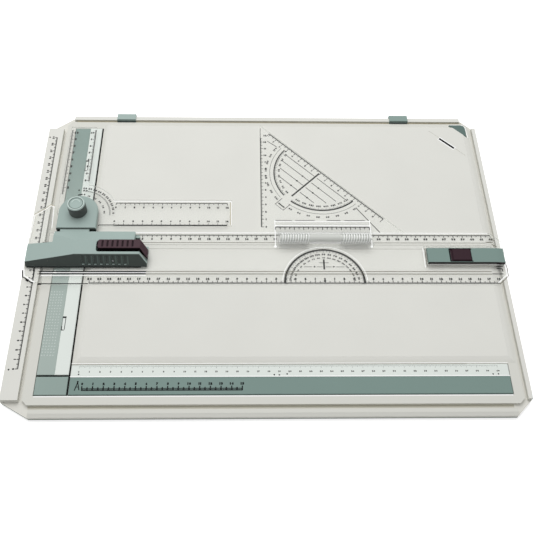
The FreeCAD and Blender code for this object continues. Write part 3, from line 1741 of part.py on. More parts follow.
def roller_frame():
    """The clear upstand round the roller, whose ends carry the axle."""
    body = new_body("roller_frame")
    y_low = roll_front + d.roll_frame_front
    y_high = y_low + d.roll_frame_depth
    wall = d.roll_frame_wall
    end = d.roll_frame_end
    base = add_prism(body, "z", roll_plate_top, d.roll_frame_height, rectangle(
        frame_left, y_low, frame_right, y_high))
    bevel_edges(body, base, d.edge_break, at_height(roll_plate_top + d.roll_frame_height))
    cut_prism(body, "z", roll_plate_top, d.roll_frame_height, rectangle(
        frame_left + end, y_low + wall, frame_right - end, y_high - wall))
    start = frame_left + end - d.axle_sink
    cut_prism(body, "x", start, frame_right - end + d.axle_sink - start,
              circles=[(roller_y, roller_z, d.axle_radius + d.fixed_fit)])
    return body


def roller_axle():
    """The steel axle of the roller."""
    start = frame_left + d.roll_frame_end - d.axle_sink
    length = frame_right - d.roll_frame_end + d.axle_sink - start
    return solid_cylinder("roller_axle", start, roller_y, roller_z, d.axle_radius, length, "x")


def roller_core():
    """The roller's barrel: thinner where the two gripping sleeves sit."""
    inner = d.roller_radius - d.sleeve_wall
    pieces = [
        solid_cylinder("roller_barrel", roller_left, roller_y, roller_z, inner,
                       roller_right - roller_left, "x"),
        solid_cylinder("roller_middle", roller_left + d.sleeve_length, roller_y, roller_z,
                       d.roller_core_radius, roller_right - roller_left - d.sleeve_length * 2, "x"),
    ]
    blank = fused("roller_blank", pieces)
    bore = solid_cylinder("roller_bore", roller_left, roller_y, roller_z,
                          d.axle_radius + d.running_fit, roller_right - roller_left, "x")
    return minus("roller_core", blank, bore)


def roller_sleeve(label, start):
    """One gripping sleeve with bevelled ends, turned about the roller's axis."""
    body = new_body(label)
    inner = d.roller_radius - d.sleeve_wall + d.fixed_fit
    spin_profile(body, [
        (inner, 0.0),
        (d.roller_radius - d.sleeve_bevel, 0.0),
        (d.roller_radius, d.sleeve_bevel),
        (d.roller_radius, d.sleeve_length - d.sleeve_bevel),
        (d.roller_radius - d.sleeve_bevel, d.sleeve_length),
        (inner, d.sleeve_length)])
    body.Placement = FreeCAD.Placement(FreeCAD.Vector(0, 0, 0), ROTATIONS["x"])
    place_body(body, start, roller_y, roller_z)
    return body


def roller_sleeves():
    """The two sleeves that grip the paper."""
    pieces = [roller_sleeve("roller_sleeve_left", roller_left),
              roller_sleeve("roller_sleeve_right", roller_right - d.sleeve_length)]
    return grouped("roller_sleeves", pieces)


# ----------------------------------------------------------------------------- build and export

def build_all():
    """Every sub-part of the drawing board, in the order in which it is put together."""
    parts = [board_shell(), corner_block(), bottom_bar(), bottom_scale_strip(), paper_corner(),
             bar_screws(), clamp_rod(), clamp_springs(), clamp_grip(), clamp_jaw()]
    parts += [rubber_foot(name, x, y) for name, x, y in foot_places()]
    parts += [rear_clip("rear_clip_left", d.clip_left_place),
              rear_clip("rear_clip_right", d.clip_right_place)]
    parts += [ruler_blade(), left_slide_plate(), left_guide_shoe(), right_guide_shoes(),
              right_tray(), right_cover(), cover_screws(), brake_button(), button_spring(),
              brake_arm(), arm_pin(), right_brake_pad()]
    parts += [head_housing(), head_screws(), lock_lever(), lever_arm(), lever_pin(),
              lever_spring(), left_brake_pad()]
    parts += [hub_housing(), pivot_stud(), friction_disc(), clamp_knob(), knob_insert(),
              protractor_ruler()]
    parts += [set_square(), rolling_base(), roller_frame(), roller_axle(), roller_core(),
              roller_sleeves()]
    return parts


def check_document():
    """Stop if any object of the document failed to build."""
    for thing in doc.Objects:
        if "Invalid" in thing.State or "Error" in thing.State:
            raise RuntimeError("%s failed: %s" % (thing.Label, thing.State))


def export_all(parts):
    """Write each sub-part's shape to a STEP file named after it."""
    if len(parts) > MAX_NODES:
        raise RuntimeError("too many sub-parts")
    os.makedirs("parts", exist_ok=True)
    for part in parts:
        if part.Shape.isNull() or not part.Shape.isValid():
            raise RuntimeError("%s has no valid shape" % part.Label)
    for part in parts:
        part.Shape.exportStep("parts/%s.step" % part.Label)
        print("%-26s %2d solids %10.1f mm3" % (part.Label, len(part.Shape.Solids),
                                               part.Shape.Volume))


all_parts = build_all()
doc.recompute()
check_document()
export_all(all_parts)
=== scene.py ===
"""Looks for the drawing board: camera, light, materials, printed scales and fine relief.

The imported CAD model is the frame. Sizes are in millimetres, and MM turns them into metres, but
those of the light and the floor are in metres. Most places on the board are measured from the
zero of its printed scales.
"""

import math

import bpy
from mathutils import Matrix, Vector


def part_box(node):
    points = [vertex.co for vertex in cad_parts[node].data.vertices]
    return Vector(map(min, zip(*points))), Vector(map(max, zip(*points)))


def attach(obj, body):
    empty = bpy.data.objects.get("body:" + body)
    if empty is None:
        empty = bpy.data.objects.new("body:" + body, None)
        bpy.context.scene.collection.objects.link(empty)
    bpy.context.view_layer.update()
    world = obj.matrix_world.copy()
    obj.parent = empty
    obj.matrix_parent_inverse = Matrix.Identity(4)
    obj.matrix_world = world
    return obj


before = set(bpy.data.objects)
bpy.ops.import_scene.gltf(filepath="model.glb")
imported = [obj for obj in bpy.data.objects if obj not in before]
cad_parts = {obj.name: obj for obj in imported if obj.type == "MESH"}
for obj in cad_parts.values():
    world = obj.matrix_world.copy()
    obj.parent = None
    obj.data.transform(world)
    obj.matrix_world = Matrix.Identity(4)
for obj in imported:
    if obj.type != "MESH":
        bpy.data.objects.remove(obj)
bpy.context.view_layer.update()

MM = 0.001

# ------------------------------------------------------------------ places read from the frame


def corner_box(node):
    """Lowest and highest corner of a CAD node in millimetres."""
    low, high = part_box(node)
    return low / MM, high / MM


board_low, board_high = corner_box("board_shell")
blade_low, blade_high = corner_box("ruler_blade")

# Heights on the board: drawing surface, lower border and the grooves' floors.
SURFACE_TOP = 10.0
BORDER_TOP = 8.4
GROOVE_FLOOR = 5.0
# The beige strip in the rear groove hangs above its floor, where the photograph's view sees it.
# The strip is painted shade that stands in for the groove's shaded inside.
REAR_STRIP_LEVEL = 7.4

# The zero of the printed scales, from the board's left and front edges.
ZERO_FROM_LEFT = 69.7
ZERO_FROM_FRONT = 47.3
zero_x = board_low.x + ZERO_FROM_LEFT
zero_y = board_low.y + ZERO_FROM_FRONT

# The drawing head's pivot, from the zero and from the ruler's front edge.
PIVOT_LEFT_OF_ZERO = 20.0
PIVOT_FROM_BLADE = 86.0
pivot_x = zero_x - PIVOT_LEFT_OF_ZERO
pivot_y = blade_low.y + PIVOT_FROM_BLADE

# ------------------------------------------------------------------ camera and light

# Fitted to the marks of the photograph's scales: lens and sensor, place, and turn in degrees.
CAMERA_LENS = 50.58
CAMERA_SENSOR = 36.0
CAMERA_PLACE = (-22.2, -439.67, 664.86)
CAMERA_TURN = (32.3202, -1.3702, -0.8076)

# The world's strongest light comes from this direction, and its weakest from below.
LIGHT_FROM = (-0.15, 0.12, 0.98)
WORLD_DIMMEST, WORLD_BRIGHTEST = 0.055, 0.66
# The floor: half its width, how far it lies below the board, and its own glow for the camera.
FLOOR_HALF = 3.0
FLOOR_DROP = 0.0002
FLOOR_GLOW = 0.58


def add_camera():
    """The photograph's viewpoint: in front of the board, looking down at 58 degrees."""
    data = bpy.data.cameras.new("camera")
    data.lens = CAMERA_LENS
    data.sensor_width = CAMERA_SENSOR
    data.clip_start = 0.05
    data.clip_end = 20.0
    camera = bpy.data.objects.new("camera", data)
    camera.location = Vector(CAMERA_PLACE) * MM
    camera.rotation_euler = [math.radians(a) for a in CAMERA_TURN]
    bpy.context.collection.objects.link(camera)
    bpy.context.scene.camera = camera


def add_area_light(name, place, target, size, power):
    """A square soft box at place, facing target, both in metres."""
    data = bpy.data.lights.new(name, "AREA")
    data.shape = "SQUARE"
    data.size = size
    data.energy = power
    lamp = bpy.data.objects.new(name, data)
    lamp.location = place
    lamp.rotation_euler = (Vector(target) - Vector(place)).to_track_quat("-Z", "Y").to_euler()
    bpy.context.collection.objects.link(lamp)


def white_where_seen(nodes, links, lit_strength):
    """A strength: 1 for camera, glossy and transmission rays, lit_strength for all others."""
    path = nodes.new("ShaderNodeLightPath")
    seen = path.outputs["Is Camera Ray"]
    for other in ("Is Glossy Ray", "Is Transmission Ray"):
        larger = nodes.new("ShaderNodeMath")
        larger.operation = "MAXIMUM"
        links.new(seen, larger.inputs[0])
        links.new(path.outputs[other], larger.inputs[1])
        seen = larger.outputs[0]
    blend = nodes.new("ShaderNodeMapRange")
    if isinstance(lit_strength, bpy.types.NodeSocket):
        links.new(lit_strength, blend.inputs["To Min"])
    else:
        blend.inputs["To Min"].default_value = lit_strength
    blend.inputs["To Max"].default_value = 1.0
    links.new(seen, blend.inputs["Value"])
    return blend.outputs["Result"]


def add_world():
    """A white studio that lights the board softly, most of all from above and behind."""
    world = bpy.data.worlds.new("studio")
    world.use_nodes = True
    nodes, links = world.node_tree.nodes, world.node_tree.links
    background = nodes["Background"]
    background.inputs["Color"].default_value = (1.0, 1.0, 1.0, 1.0)
    place = nodes.new("ShaderNodeTexCoord")
    towards_light = nodes.new("ShaderNodeVectorMath")
    towards_light.operation = "DOT_PRODUCT"
    towards_light.inputs[1].default_value = LIGHT_FROM
    links.new(place.outputs["Generated"], towards_light.inputs[0])
    dome = nodes.new("ShaderNodeMapRange")
    dome.interpolation_type = "SMOOTHSTEP"
    dome.inputs["From Min"].default_value = -0.2
    dome.inputs["From Max"].default_value = 0.9
    dome.inputs["To Min"].default_value = WORLD_DIMMEST
    dome.inputs["To Max"].default_value = WORLD_BRIGHTEST
    links.new(towards_light.outputs["Value"], dome.inputs["Value"])
    strength = white_where_seen(nodes, links, dome.outputs["Result"])
    links.new(strength, background.inputs["Strength"])
    bpy.context.scene.world = world


def add_floor():
    """A pale floor that keeps a soft shadow under the board."""
    half = FLOOR_HALF
    mesh = bpy.data.meshes.new("floor")
    corners = [(-half, -half, 0), (half, -half, 0), (half, half, 0), (-half, half, 0)]
    mesh.from_pydata(corners, [], [(0, 1, 2, 3)])
    floor = bpy.data.objects.new("floor", mesh)
    floor.location.z = -FLOOR_DROP
    bpy.context.collection.objects.link(floor)
    material = bpy.data.materials.new("floor")
    material.use_nodes = True
    nodes, links = material.node_tree.nodes, material.node_tree.links
    shader = nodes["Principled BSDF"]
    shader.inputs["Base Color"].default_value = (0.9, 0.9, 0.9, 1.0)
    shader.inputs["Roughness"].default_value = 0.9
    shader.inputs["Specular IOR Level"].default_value = 0.0
    shader.inputs["Emission Color"].default_value = (1.0, 1.0, 1.0, 1.0)
    seen = white_where_seen(nodes, links, 0.0)
    scaled = nodes.new("ShaderNodeMath")
    scaled.operation = "MULTIPLY"
    scaled.inputs[1].default_value = FLOOR_GLOW
    links.new(seen, scaled.inputs[0])
    links.new(scaled.outputs[0], shader.inputs["Emission Strength"])
    mesh.materials.append(material)


bpy.context.scene.view_settings.view_transform = "Standard"
add_camera()
add_world()
add_floor()
add_area_light("key", place=(-0.2, 0.8, 1.7), target=(0.0, 0.0, 0.0), size=1.6, power=20.5)

# ------------------------------------------------------------------ materials


def colour(red, green, blue):
    """An 8-bit screen colour as a linear shader colour."""

    def linear(value):
        part = value / 255.0
        return part / 12.92 if part <= 0.04045 else ((part + 0.055) / 1.055) ** 2.4

    return (linear(red), linear(green), linear(blue), 1.0)


# Moulded plastic: how fine its mottle and its grain are, how strong the grain and the gloss.
MOTTLE_SCALE = 18.0
GRAIN_SCALE = 1600.0
GRAIN_STRENGTH = 0.04
GRAIN_HEIGHT = 0.0002
PLASTIC_GLOSS = 0.08
ACRYLIC_GLOSS = 0.15
ACRYLIC_ROUGHNESS = 0.22
# Parts of a face's normal along an axis, where a painted light or shade starts and where it is
# full: for walls and for fronts of plastic, and for the painted highlight on cut edges of acrylic.
WALL, FRONT, CUT_EDGE = (0.5, 0.2), (0.4, 0.8), (0.9, 0.4)


def new_material(name):
    """An empty principled material, with its nodes, links and shader."""
    material = bpy.data.materials.new(name)
    material.use_nodes = True
    tree = material.node_tree
    return material, tree.nodes, tree.links, tree.nodes["Principled BSDF"]


def add_noise(nodes, links, scale, detail=2.0):
    """Noise in object space, so that it stays on the surface as a body moves."""
    place = nodes.new("ShaderNodeTexCoord")
    noise = nodes.new("ShaderNodeTexNoise")
    noise.inputs["Scale"].default_value = scale
    noise.inputs["Detail"].default_value = detail
    links.new(place.outputs["Object"], noise.inputs["Vector"])
    return noise.outputs["Fac"]


def tint_towards(nodes, links, vector, axis, low, high):
    """0 to 1 as the vector's part along the axis goes from low to high."""
    part = nodes.new("ShaderNodeVectorMath")
    part.operation = "DOT_PRODUCT"
    part.inputs[1].default_value = axis
    links.new(vector, part.inputs[0])
    ramp = nodes.new("ShaderNodeMapRange")
    ramp.inputs["From Min"].default_value = low
    ramp.inputs["From Max"].default_value = high
    links.new(part.outputs["Value"], ramp.inputs["Value"])
    return ramp.outputs["Result"]


def blend(nodes, links, factor, first, second, kind="RGBA"):
    """Between first and second: colours, or numbers if kind is FLOAT, or other nodes' outputs."""
    mix = nodes.new("ShaderNodeMix")
    mix.data_type = kind
    links.new(factor, mix.inputs["Factor"])
    for socket, value in ((mix.inputs["A"], first), (mix.inputs["B"], second)):
        if isinstance(value, bpy.types.NodeSocket):
            links.new(value, socket)
        else:
            socket.default_value = value
    return mix.outputs["Result"]


def moulded(
    name,
    base,
    roughness=0.45,
    spread=0.03,
    front=None,
    sides=None,
    groove=None,
    far=None,
    rim=None,
    border=None,
):
    """Injection-moulded plastic: an even colour with a little mottle and a fine grain.

    front paints shade on what faces the front, and sides paints light or shade on the upright
    walls. groove, border and rim each give the colour of a lower level, with the heights between
    which it fades in: groove a painted shade in the channels, border that of the lower border, rim
    a painted shade along the lowest edge. far gives the colour of the rear end, with the places
    along Y between which it fades in.
    """
    material, nodes, links, shader = new_material(name)
    shader.inputs["Specular IOR Level"].default_value = PLASTIC_GLOSS
    darker = [c * (1.0 - spread) for c in base[:3]] + [1.0]
    lighter = [min(c * (1.0 + spread), 1.0) for c in base[:3]] + [1.0]
    mixed = blend(nodes, links, add_noise(nodes, links, MOTTLE_SCALE), darker, lighter)
    normal = nodes.new("ShaderNodeNewGeometry").outputs["Normal"]
    place = nodes.new("ShaderNodeTexCoord").outputs["Object"]
    if far:
        shade, near, rear = far
        away = tint_towards(nodes, links, place, (0, 1, 0), near * MM, rear * MM)
        mixed = blend(nodes, links, away, mixed, shade)
    # sides and front paint light or shade onto upright walls and front faces.
    if sides:
        upright = tint_towards(nodes, links, normal, (0, 0, 1), *WALL)
        mixed = blend(nodes, links, upright, mixed, sides)
    if front:
        facing = tint_towards(nodes, links, normal, (0, -1, 0), *FRONT)
        mixed = blend(nodes, links, facing, mixed, front)
    # groove and rim paint shade low down; border gives the colour of the lower border.
    for level in (border, groove, rim):
        if level:
            shade, low, high = level
            deep = tint_towards(nodes, links, place, (0, 0, 1), high * MM, low * MM)
            mixed = blend(nodes, links, deep, mixed, shade)
    links.new(mixed, shader.inputs["Base Color"])
    shader.inputs["Roughness"].default_value = roughness
    bump = nodes.new("ShaderNodeBump")
    bump.inputs["Strength"].default_value = GRAIN_STRENGTH
    bump.inputs["Distance"].default_value = GRAIN_HEIGHT
    links.new(add_noise(nodes, links, GRAIN_SCALE, 1.0), bump.inputs["Height"])
    links.new(bump.outputs["Normal"], shader.inputs["Normal"])
    return material


def clear(name, face, edge):
    """Clear acrylic: nearly invisible on its level faces, and bright along its cut edges.

    face and edge each give a colour and an alpha; edge is a painted highlight on the cut edges.
    """
    material, nodes, links, shader = new_material(name)
    shape = nodes.new("ShaderNodeNewGeometry")
    level = nodes.new("ShaderNodeVectorMath")
    level.operation = "ABSOLUTE"
    links.new(shape.outputs["Normal"], level.inputs[0])
    upright = tint_towards(nodes, links, level.outputs["Vector"], (0, 0, 1), *CUT_EDGE)
    links.new(blend(nodes, links, upright, face[0], edge[0]), shader.inputs["Base Color"])
    alpha = blend(nodes, links, upright, face[1], edge[1], "FLOAT")
    links.new(alpha, shader.inputs["Alpha"])
    shader.inputs["Roughness"].default_value = ACRYLIC_ROUGHNESS
    shader.inputs["Specular IOR Level"].default_value = ACRYLIC_GLOSS
    return material


# The board: painted shade on its front faces, in its channels and along its lowest edge, and
# painted light on its upright walls.
WHITE_ABS = moulded(
    "white_abs",
    colour(224, 224, 218),
    roughness=0.55,
    front=colour(176, 175, 162),
    sides=colour(255, 254, 246),
    groove=(colour(223, 222, 215), 5.2, 8.0),
    rim=(colour(150, 157, 149), 3.6, 4.2),
    border=(colour(216, 216, 209), 8.6, 9.4),
)
BAR_GREY = moulded("bar_grey", colour(126, 147, 141), roughness=0.5)
BLOCK_GREY = moulded("block_grey", colour(149, 166, 160), roughness=0.5, spread=0.08)
CLAMP_GREY = moulded(
    "clamp_grey",
    colour(168, 181, 175),
    roughness=0.5,
    spread=0.05,
    far=(colour(132, 152, 146), -60.0, 140.0),
)
CORNER_GREY = moulded("corner_grey", colour(100, 119, 115), roughness=0.5)
# Painted shade on the clips' front faces. The right clip's grey is a painted-shade copy of the
# left clip's.
CLIP_FRONT_SHADE = colour(84, 96, 92)
CLIP_GREY = moulded("clip_grey", colour(165, 182, 177), roughness=0.5, front=CLIP_FRONT_SHADE)
CLIP_GREY_SHADED = moulded("clip_grey_shaded", colour(140, 160, 154), roughness=0.5, front=CLIP_FRONT_SHADE)
# Painted shade on the right cover's front faces.
COVER_GREY = moulded("cover_grey", colour(126, 147, 141), front=colour(48, 40, 42))
# Painted shade on the head's and the hub's front faces.
HEAD_GREY = moulded(
    "head_grey",
    colour(162, 179, 174),
    roughness=0.4,
    front=colour(78, 85, 82),
)
# Painted shade on the knob's upright sides.
KNOB_GREY = moulded("knob_grey", colour(168, 185, 180), roughness=0.4, sides=colour(94, 98, 96))
SCALE_WHITE = moulded("scale_white", colour(226, 232, 227), roughness=0.4)
# Painted shade on the lever's upright sides.
MAROON = moulded("maroon", colour(76, 57, 63), roughness=0.45, sides=colour(18, 12, 14))
DARK_MAROON = moulded("dark_maroon", colour(54, 36, 43), roughness=0.45)
STEEL = moulded("steel", colour(170, 172, 174), roughness=0.3)
BRASS = moulded("brass", colour(190, 160, 90), roughness=0.3)
RUBBER = moulded("rubber", colour(45, 46, 48), roughness=0.85)
SHADOW_BLACK = moulded("shadow_black", colour(15, 15, 16), roughness=0.9)
# Ink for print, also used as painted shade in some dark lines and outlines.
INK_AND_SHADE = moulded("ink", colour(14, 14, 16), roughness=0.6)
PALE_INK = moulded("pale_ink", colour(96, 98, 95), roughness=0.6)
# Painted shade along edges and slopes.
EDGE_SHADE = moulded("edge_shade_line", colour(104, 99, 86), roughness=0.5)
HIGHLIGHT = moulded("edge_highlight", colour(252, 253, 251), roughness=0.4)
# Painted shade along the edges of clear pieces and in the rear groove.
BEIGE_SHADE = moulded("beige_shade_line", colour(186, 178, 154), roughness=0.5)
CLEAR = clear(
    "clear_acrylic",
    face=(colour(240, 243, 238), 0.04),
    edge=(colour(250, 251, 247), 0.5),
)
ROLLER_CLEAR = clear(
    "clear_roller",
    face=(colour(244, 246, 243), 0.06),
    edge=(colour(246, 248, 245), 0.1),
)
# Painted light on the roller core's and axle's upright faces.
ROLLER_CORE = moulded(
    "roller_core",
    colour(208, 210, 205),
    roughness=0.35,
    sides=colour(255, 255, 255),
)
# The roller's ribs: real relief, whose white is a painted highlight.
RIB_HIGHLIGHT_WHITE = moulded("roller_ribs", colour(246, 248, 246), roughness=0.4)

for metal in (STEEL, BRASS):
    metal.node_tree.nodes["Principled BSDF"].inputs["Metallic"].default_value = 1.0


def dress(material, *nodes):
    """Gives CAD nodes their finish."""
    for name in nodes:
        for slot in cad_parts[name].material_slots:
            slot.material = material


CLEAR_SHEETS = ("ruler_blade", "left_slide_plate", "right_tray", "protractor_ruler", "set_square")
CLEAR_SHOES = ("left_guide_shoe", "right_guide_shoes")
CLEAR_ROLLER = ("rolling_base", "roller_frame", "roller_sleeves")
ROLLER_BARS = ("roller_core", "roller_axle")


dress(WHITE_ABS, "board_shell")
dress(BAR_GREY, "bottom_bar", "lever_arm")
dress(CORNER_GREY, "paper_corner")
dress(BLOCK_GREY, "corner_block")
dress(CLAMP_GREY, "clamp_grip")
dress(CLIP_GREY, "rear_clip_left")
dress(CLIP_GREY_SHADED, "rear_clip_right")
dress(COVER_GREY, "right_cover")
dress(SCALE_WHITE, "bottom_scale_strip", "clamp_jaw")
dress(HEAD_GREY, "head_housing", "hub_housing")
dress(KNOB_GREY, "clamp_knob", "knob_insert")
dress(MAROON, "lock_lever")
dress(DARK_MAROON, "brake_button")
dress(STEEL, "bar_screws", "clamp_rod", "clamp_springs", "cover_screws", "button_spring")
dress(STEEL, "brake_arm", "arm_pin", "head_screws", "lever_pin", "lever_spring")
dress(BRASS, "pivot_stud")
dress(RUBBER, "right_brake_pad", "left_brake_pad", "friction_disc")
for corner in ("front_left", "front_right", "rear_left", "rear_right"):
    dress(RUBBER, "rubber_foot_" + corner)
dress(CLEAR, *CLEAR_SHEETS)
dress(ROLLER_CLEAR, *CLEAR_SHOES, *CLEAR_ROLLER)
dress(ROLLER_CORE, *ROLLER_BARS)

# Clear pieces that lie on each other render too dark with their shadows on, so these throw none.
# The marks built by Print throw none either, which Print.build sees to.
for name in CLEAR_SHEETS + CLEAR_SHOES + CLEAR_ROLLER + ROLLER_BARS:
    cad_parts[name].visible_shadow = False

# ------------------------------------------------------------------ printed marks

CM = 10.0
# How far marks stand off their surface.
INK_LIFT = 0.03
# The gap between two digits, in digit heights, and the digits' boldness.
DIGIT_GAP = 0.18
GLYPH_BOLD = 0.14
# How much wider every fifth tick is.
BOLD_TICK = 1.7
ARC_STEPS = 48
DOT_SIDES = 8


def glyph(character):
    """Flat triangles of a character one unit high, with its lower left corner at the origin."""
    curve = bpy.data.curves.new("glyph", "FONT")
    curve.body = character
    curve.resolution_u = 2
    curve.offset = GLYPH_BOLD
    writer = bpy.data.objects.new("glyph", curve)
    mesh = bpy.data.meshes.new_from_object(writer)
    points = [vertex.co.copy() for vertex in mesh.vertices]
    faces = [tuple(face.vertices) for face in mesh.polygons]
    left = min(point.x for point in points)
    low = min(point.y for point in points)
    height = max(point.y for point in points) - low
    flat = [((point.x - left) / height, (point.y - low) / height) for point in points]
    bpy.data.objects.remove(writer)
    bpy.data.curves.remove(curve)
    bpy.data.meshes.remove(mesh)
    return flat, faces, max(x for x, y in flat)


GLYPHS = {digit: glyph(digit) for digit in "0123456789"}


def turned(x, y, angle):
    """The point (x, y) turned about the origin by an angle in degrees."""
    c, s = math.cos(math.radians(angle)), math.sin(math.radians(angle))
    return x * c - y * s, x * s + y * c


def tick_length(i, reach):
    """The length of tick i, where reach gives those of the ticks by 1, by 5 and by 10."""
    if i % 10 == 0:
        return reach[2]
    return reach[1] if i % 5 == 0 else reach[0]


class Print:
    """Flat print or painted shading on one surface, in millimetres in its own turned frame."""

    def __init__(self, x, y, angle=0.0):
        self.x, self.y, self.angle = x, y, angle
        self.points, self.faces = [], []

    def add(self, points, faces):
        """Adds flat faces, whose points are in this print's own frame."""
        start = len(self.points)
        for x, y in points:
            across, along = turned(x, y, self.angle)
            self.points.append((self.x + across, self.y + along))
        self.faces += [tuple(start + i for i in face) for face in faces]

    def line(self, x0, y0, x1, y1, width):
        """A straight line with square ends."""
        length = math.hypot(x1 - x0, y1 - y0)
        nx = -(y1 - y0) / length * width / 2.0
        ny = (x1 - x0) / length * width / 2.0
        corners = [(x0 - nx, y0 - ny), (x1 - nx, y1 - ny), (x1 + nx, y1 + ny), (x0 + nx, y0 + ny)]
        self.add(corners, [(0, 1, 2, 3)])

    def path(self, points, width):
        """A line through several points, with round joints."""
        for (x0, y0), (x1, y1) in zip(points, points[1:]):
            self.line(x0, y0, x1, y1, width)
        for x, y in points[1:-1]:
            self.dot(x, y, width / 2.0)

    def arc(self, x, y, radius, start, end, width):
        """Part of a circle round (x, y), from start to end in degrees."""
        rim = []
        for i in range(ARC_STEPS + 1):
            angle = start + (end - start) * i / ARC_STEPS
            for reach in (radius - width / 2.0, radius + width / 2.0):
                across, along = turned(reach, 0.0, angle)
                rim.append((x + across, y + along))
        self.add(rim, [(2 * i, 2 * i + 1, 2 * i + 3, 2 * i + 2) for i in range(ARC_STEPS)])

    def spoke(self, x, y, outer, inner, angle, width):
        """A tick that points at (x, y), from the outer radius to the inner one."""
        x0, y0 = turned(outer, 0.0, angle)
        x1, y1 = turned(inner, 0.0, angle)
        self.line(x + x0, y + y0, x + x1, y + y1, width)

    def dot(self, x, y, radius):
        """A filled circle."""
        rim = [turned(radius, 0.0, 360.0 / DOT_SIDES * i) for i in range(DOT_SIDES)]
        self.add([(x + px, y + py) for px, py in rim], [tuple(range(DOT_SIDES))])

    def number(self, value, x, y, height, angle=0.0):
        """A number whose middle is at (x, y), turned by an angle in degrees."""
        shapes = [GLYPHS[character] for character in str(value)]
        width = sum(shape[2] for shape in shapes) + DIGIT_GAP * (len(shapes) - 1)
        start = -width / 2.0
        for points, faces, advance in shapes:
            placed = []
            for px, py in points:
                across, along = turned((start + px) * height, (py - 0.5) * height, angle)
                placed.append((x + across, y + along))
            self.add(placed, faces)
            start += advance + DIGIT_GAP

    def numbers(self, values, y, height):
        """The values in a row, one for each centimetre from 0 on."""
        for n, value in enumerate(values):
            self.number(value, CM * n, y, height)

    def scale(self, first, last, base, reach, width=0.4, rule=0.9):
        """Millimetre ticks of reach's three lengths on a base line that is rule wide."""
        self.line(first, base, last, base, rule)
        for i in range(first, last + 1):
            bold = 1.0 if i % 5 else BOLD_TICK
            self.line(i, base, i, base + tick_length(i, reach), width * bold)

    def build(self, name, z, body, material):
        """The marks as one mesh piece at height z, riding on a body."""
        mesh = bpy.data.meshes.new(name)
        mesh.from_pydata([(x * MM, y * MM, z * MM) for x, y in self.points], [], self.faces)
        mesh.materials.append(material)
        marks = bpy.data.objects.new(name, mesh)
        bpy.context.collection.objects.link(marks)
        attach(marks, body)
        marks.visible_shadow = False


# The left rail's scale: how far left of the zero it stands, and its turn in degrees.
RAIL_SCALE_LEFT = 57.3
RAIL_SCALE_TURN = 90.32
# The rolling ruler's scale, from the zero of the printed scales.
ROLLING_SCALE = (189.4, 161.5)
# Where the marks along the L-shaped ruler's side arm start, from the same zero.
SIDE_ARM_START = 17.8
# Dots of ink on the pale strip, from the same zero.
STRIP_DOTS = [
    (0.2, -5.2),
    (185.0, -6.2),
    (189.8, -6.4),
    (197.2, -5.4),
    (394.7, -6.1),
    (399.9, -6.1),
]


def print_left_rail():
    """The scale along the left rail, read from the front: 0 to 29 cm."""
    marks = Print(zero_x - RAIL_SCALE_LEFT, zero_y, RAIL_SCALE_TURN)
    marks.scale(0, 290, base=0.0, reach=(1.3, 2.0, 2.6), width=0.5, rule=0.65)
    marks.numbers(range(30), y=4.3, height=2.4)
    marks.dot(-0.6, 8.5, radius=0.9)
    marks.dot(290.5, 8.5, radius=0.9)
    marks.build("left_rail_scale", board_high.z + INK_LIFT, "board", INK_AND_SHADE)


def print_bottom_strip():
    """The scale on the pale strip: 0 to 40 cm, hanging from the strip's rear edge."""
    high = corner_box("bottom_scale_strip")[1]
    marks = Print(zero_x, zero_y)
    rear = high.y - zero_y - 1.3
    for i in range(401):
        marks.line(i, rear, i, rear - tick_length(i, (1.1, 1.8, 2.6)), width=0.22)
    marks.numbers(range(41), y=-2.7, height=1.8)
    marks.build("bottom_strip_scale", high.z + INK_LIFT, "board", PALE_INK)
    bold = Print(zero_x, zero_y)
    for x, y in STRIP_DOTS:
        bold.dot(x, y, radius=0.8)
    bold.build("bottom_strip_dots", high.z + INK_LIFT, "board", INK_AND_SHADE)


def print_bottom_bar():
    """The compass scale on the grey bar, 0 to 15 cm, with a small pair of compasses beside it."""
    high = corner_box("bottom_bar")[1]
    marks = Print(zero_x + 4.7, zero_y - 22.1)
    marks.scale(0, 150, base=0.3, reach=(2.6, 3.4, 4.6), width=0.65, rule=0.6)
    marks.numbers(range(16), y=7.1, height=2.7)
    marks.line(-4.4, 8.9, -6.6, 0.4, width=0.9)
    marks.line(-4.4, 8.9, -2.3, 0.8, width=0.9)
    marks.line(-5.9, 4.0, -3.0, 4.0, width=0.7)
    marks.dot(-4.4, 9.3, radius=0.9)
    marks.build("compass_scale", high.z + INK_LIFT, "board", INK_AND_SHADE)


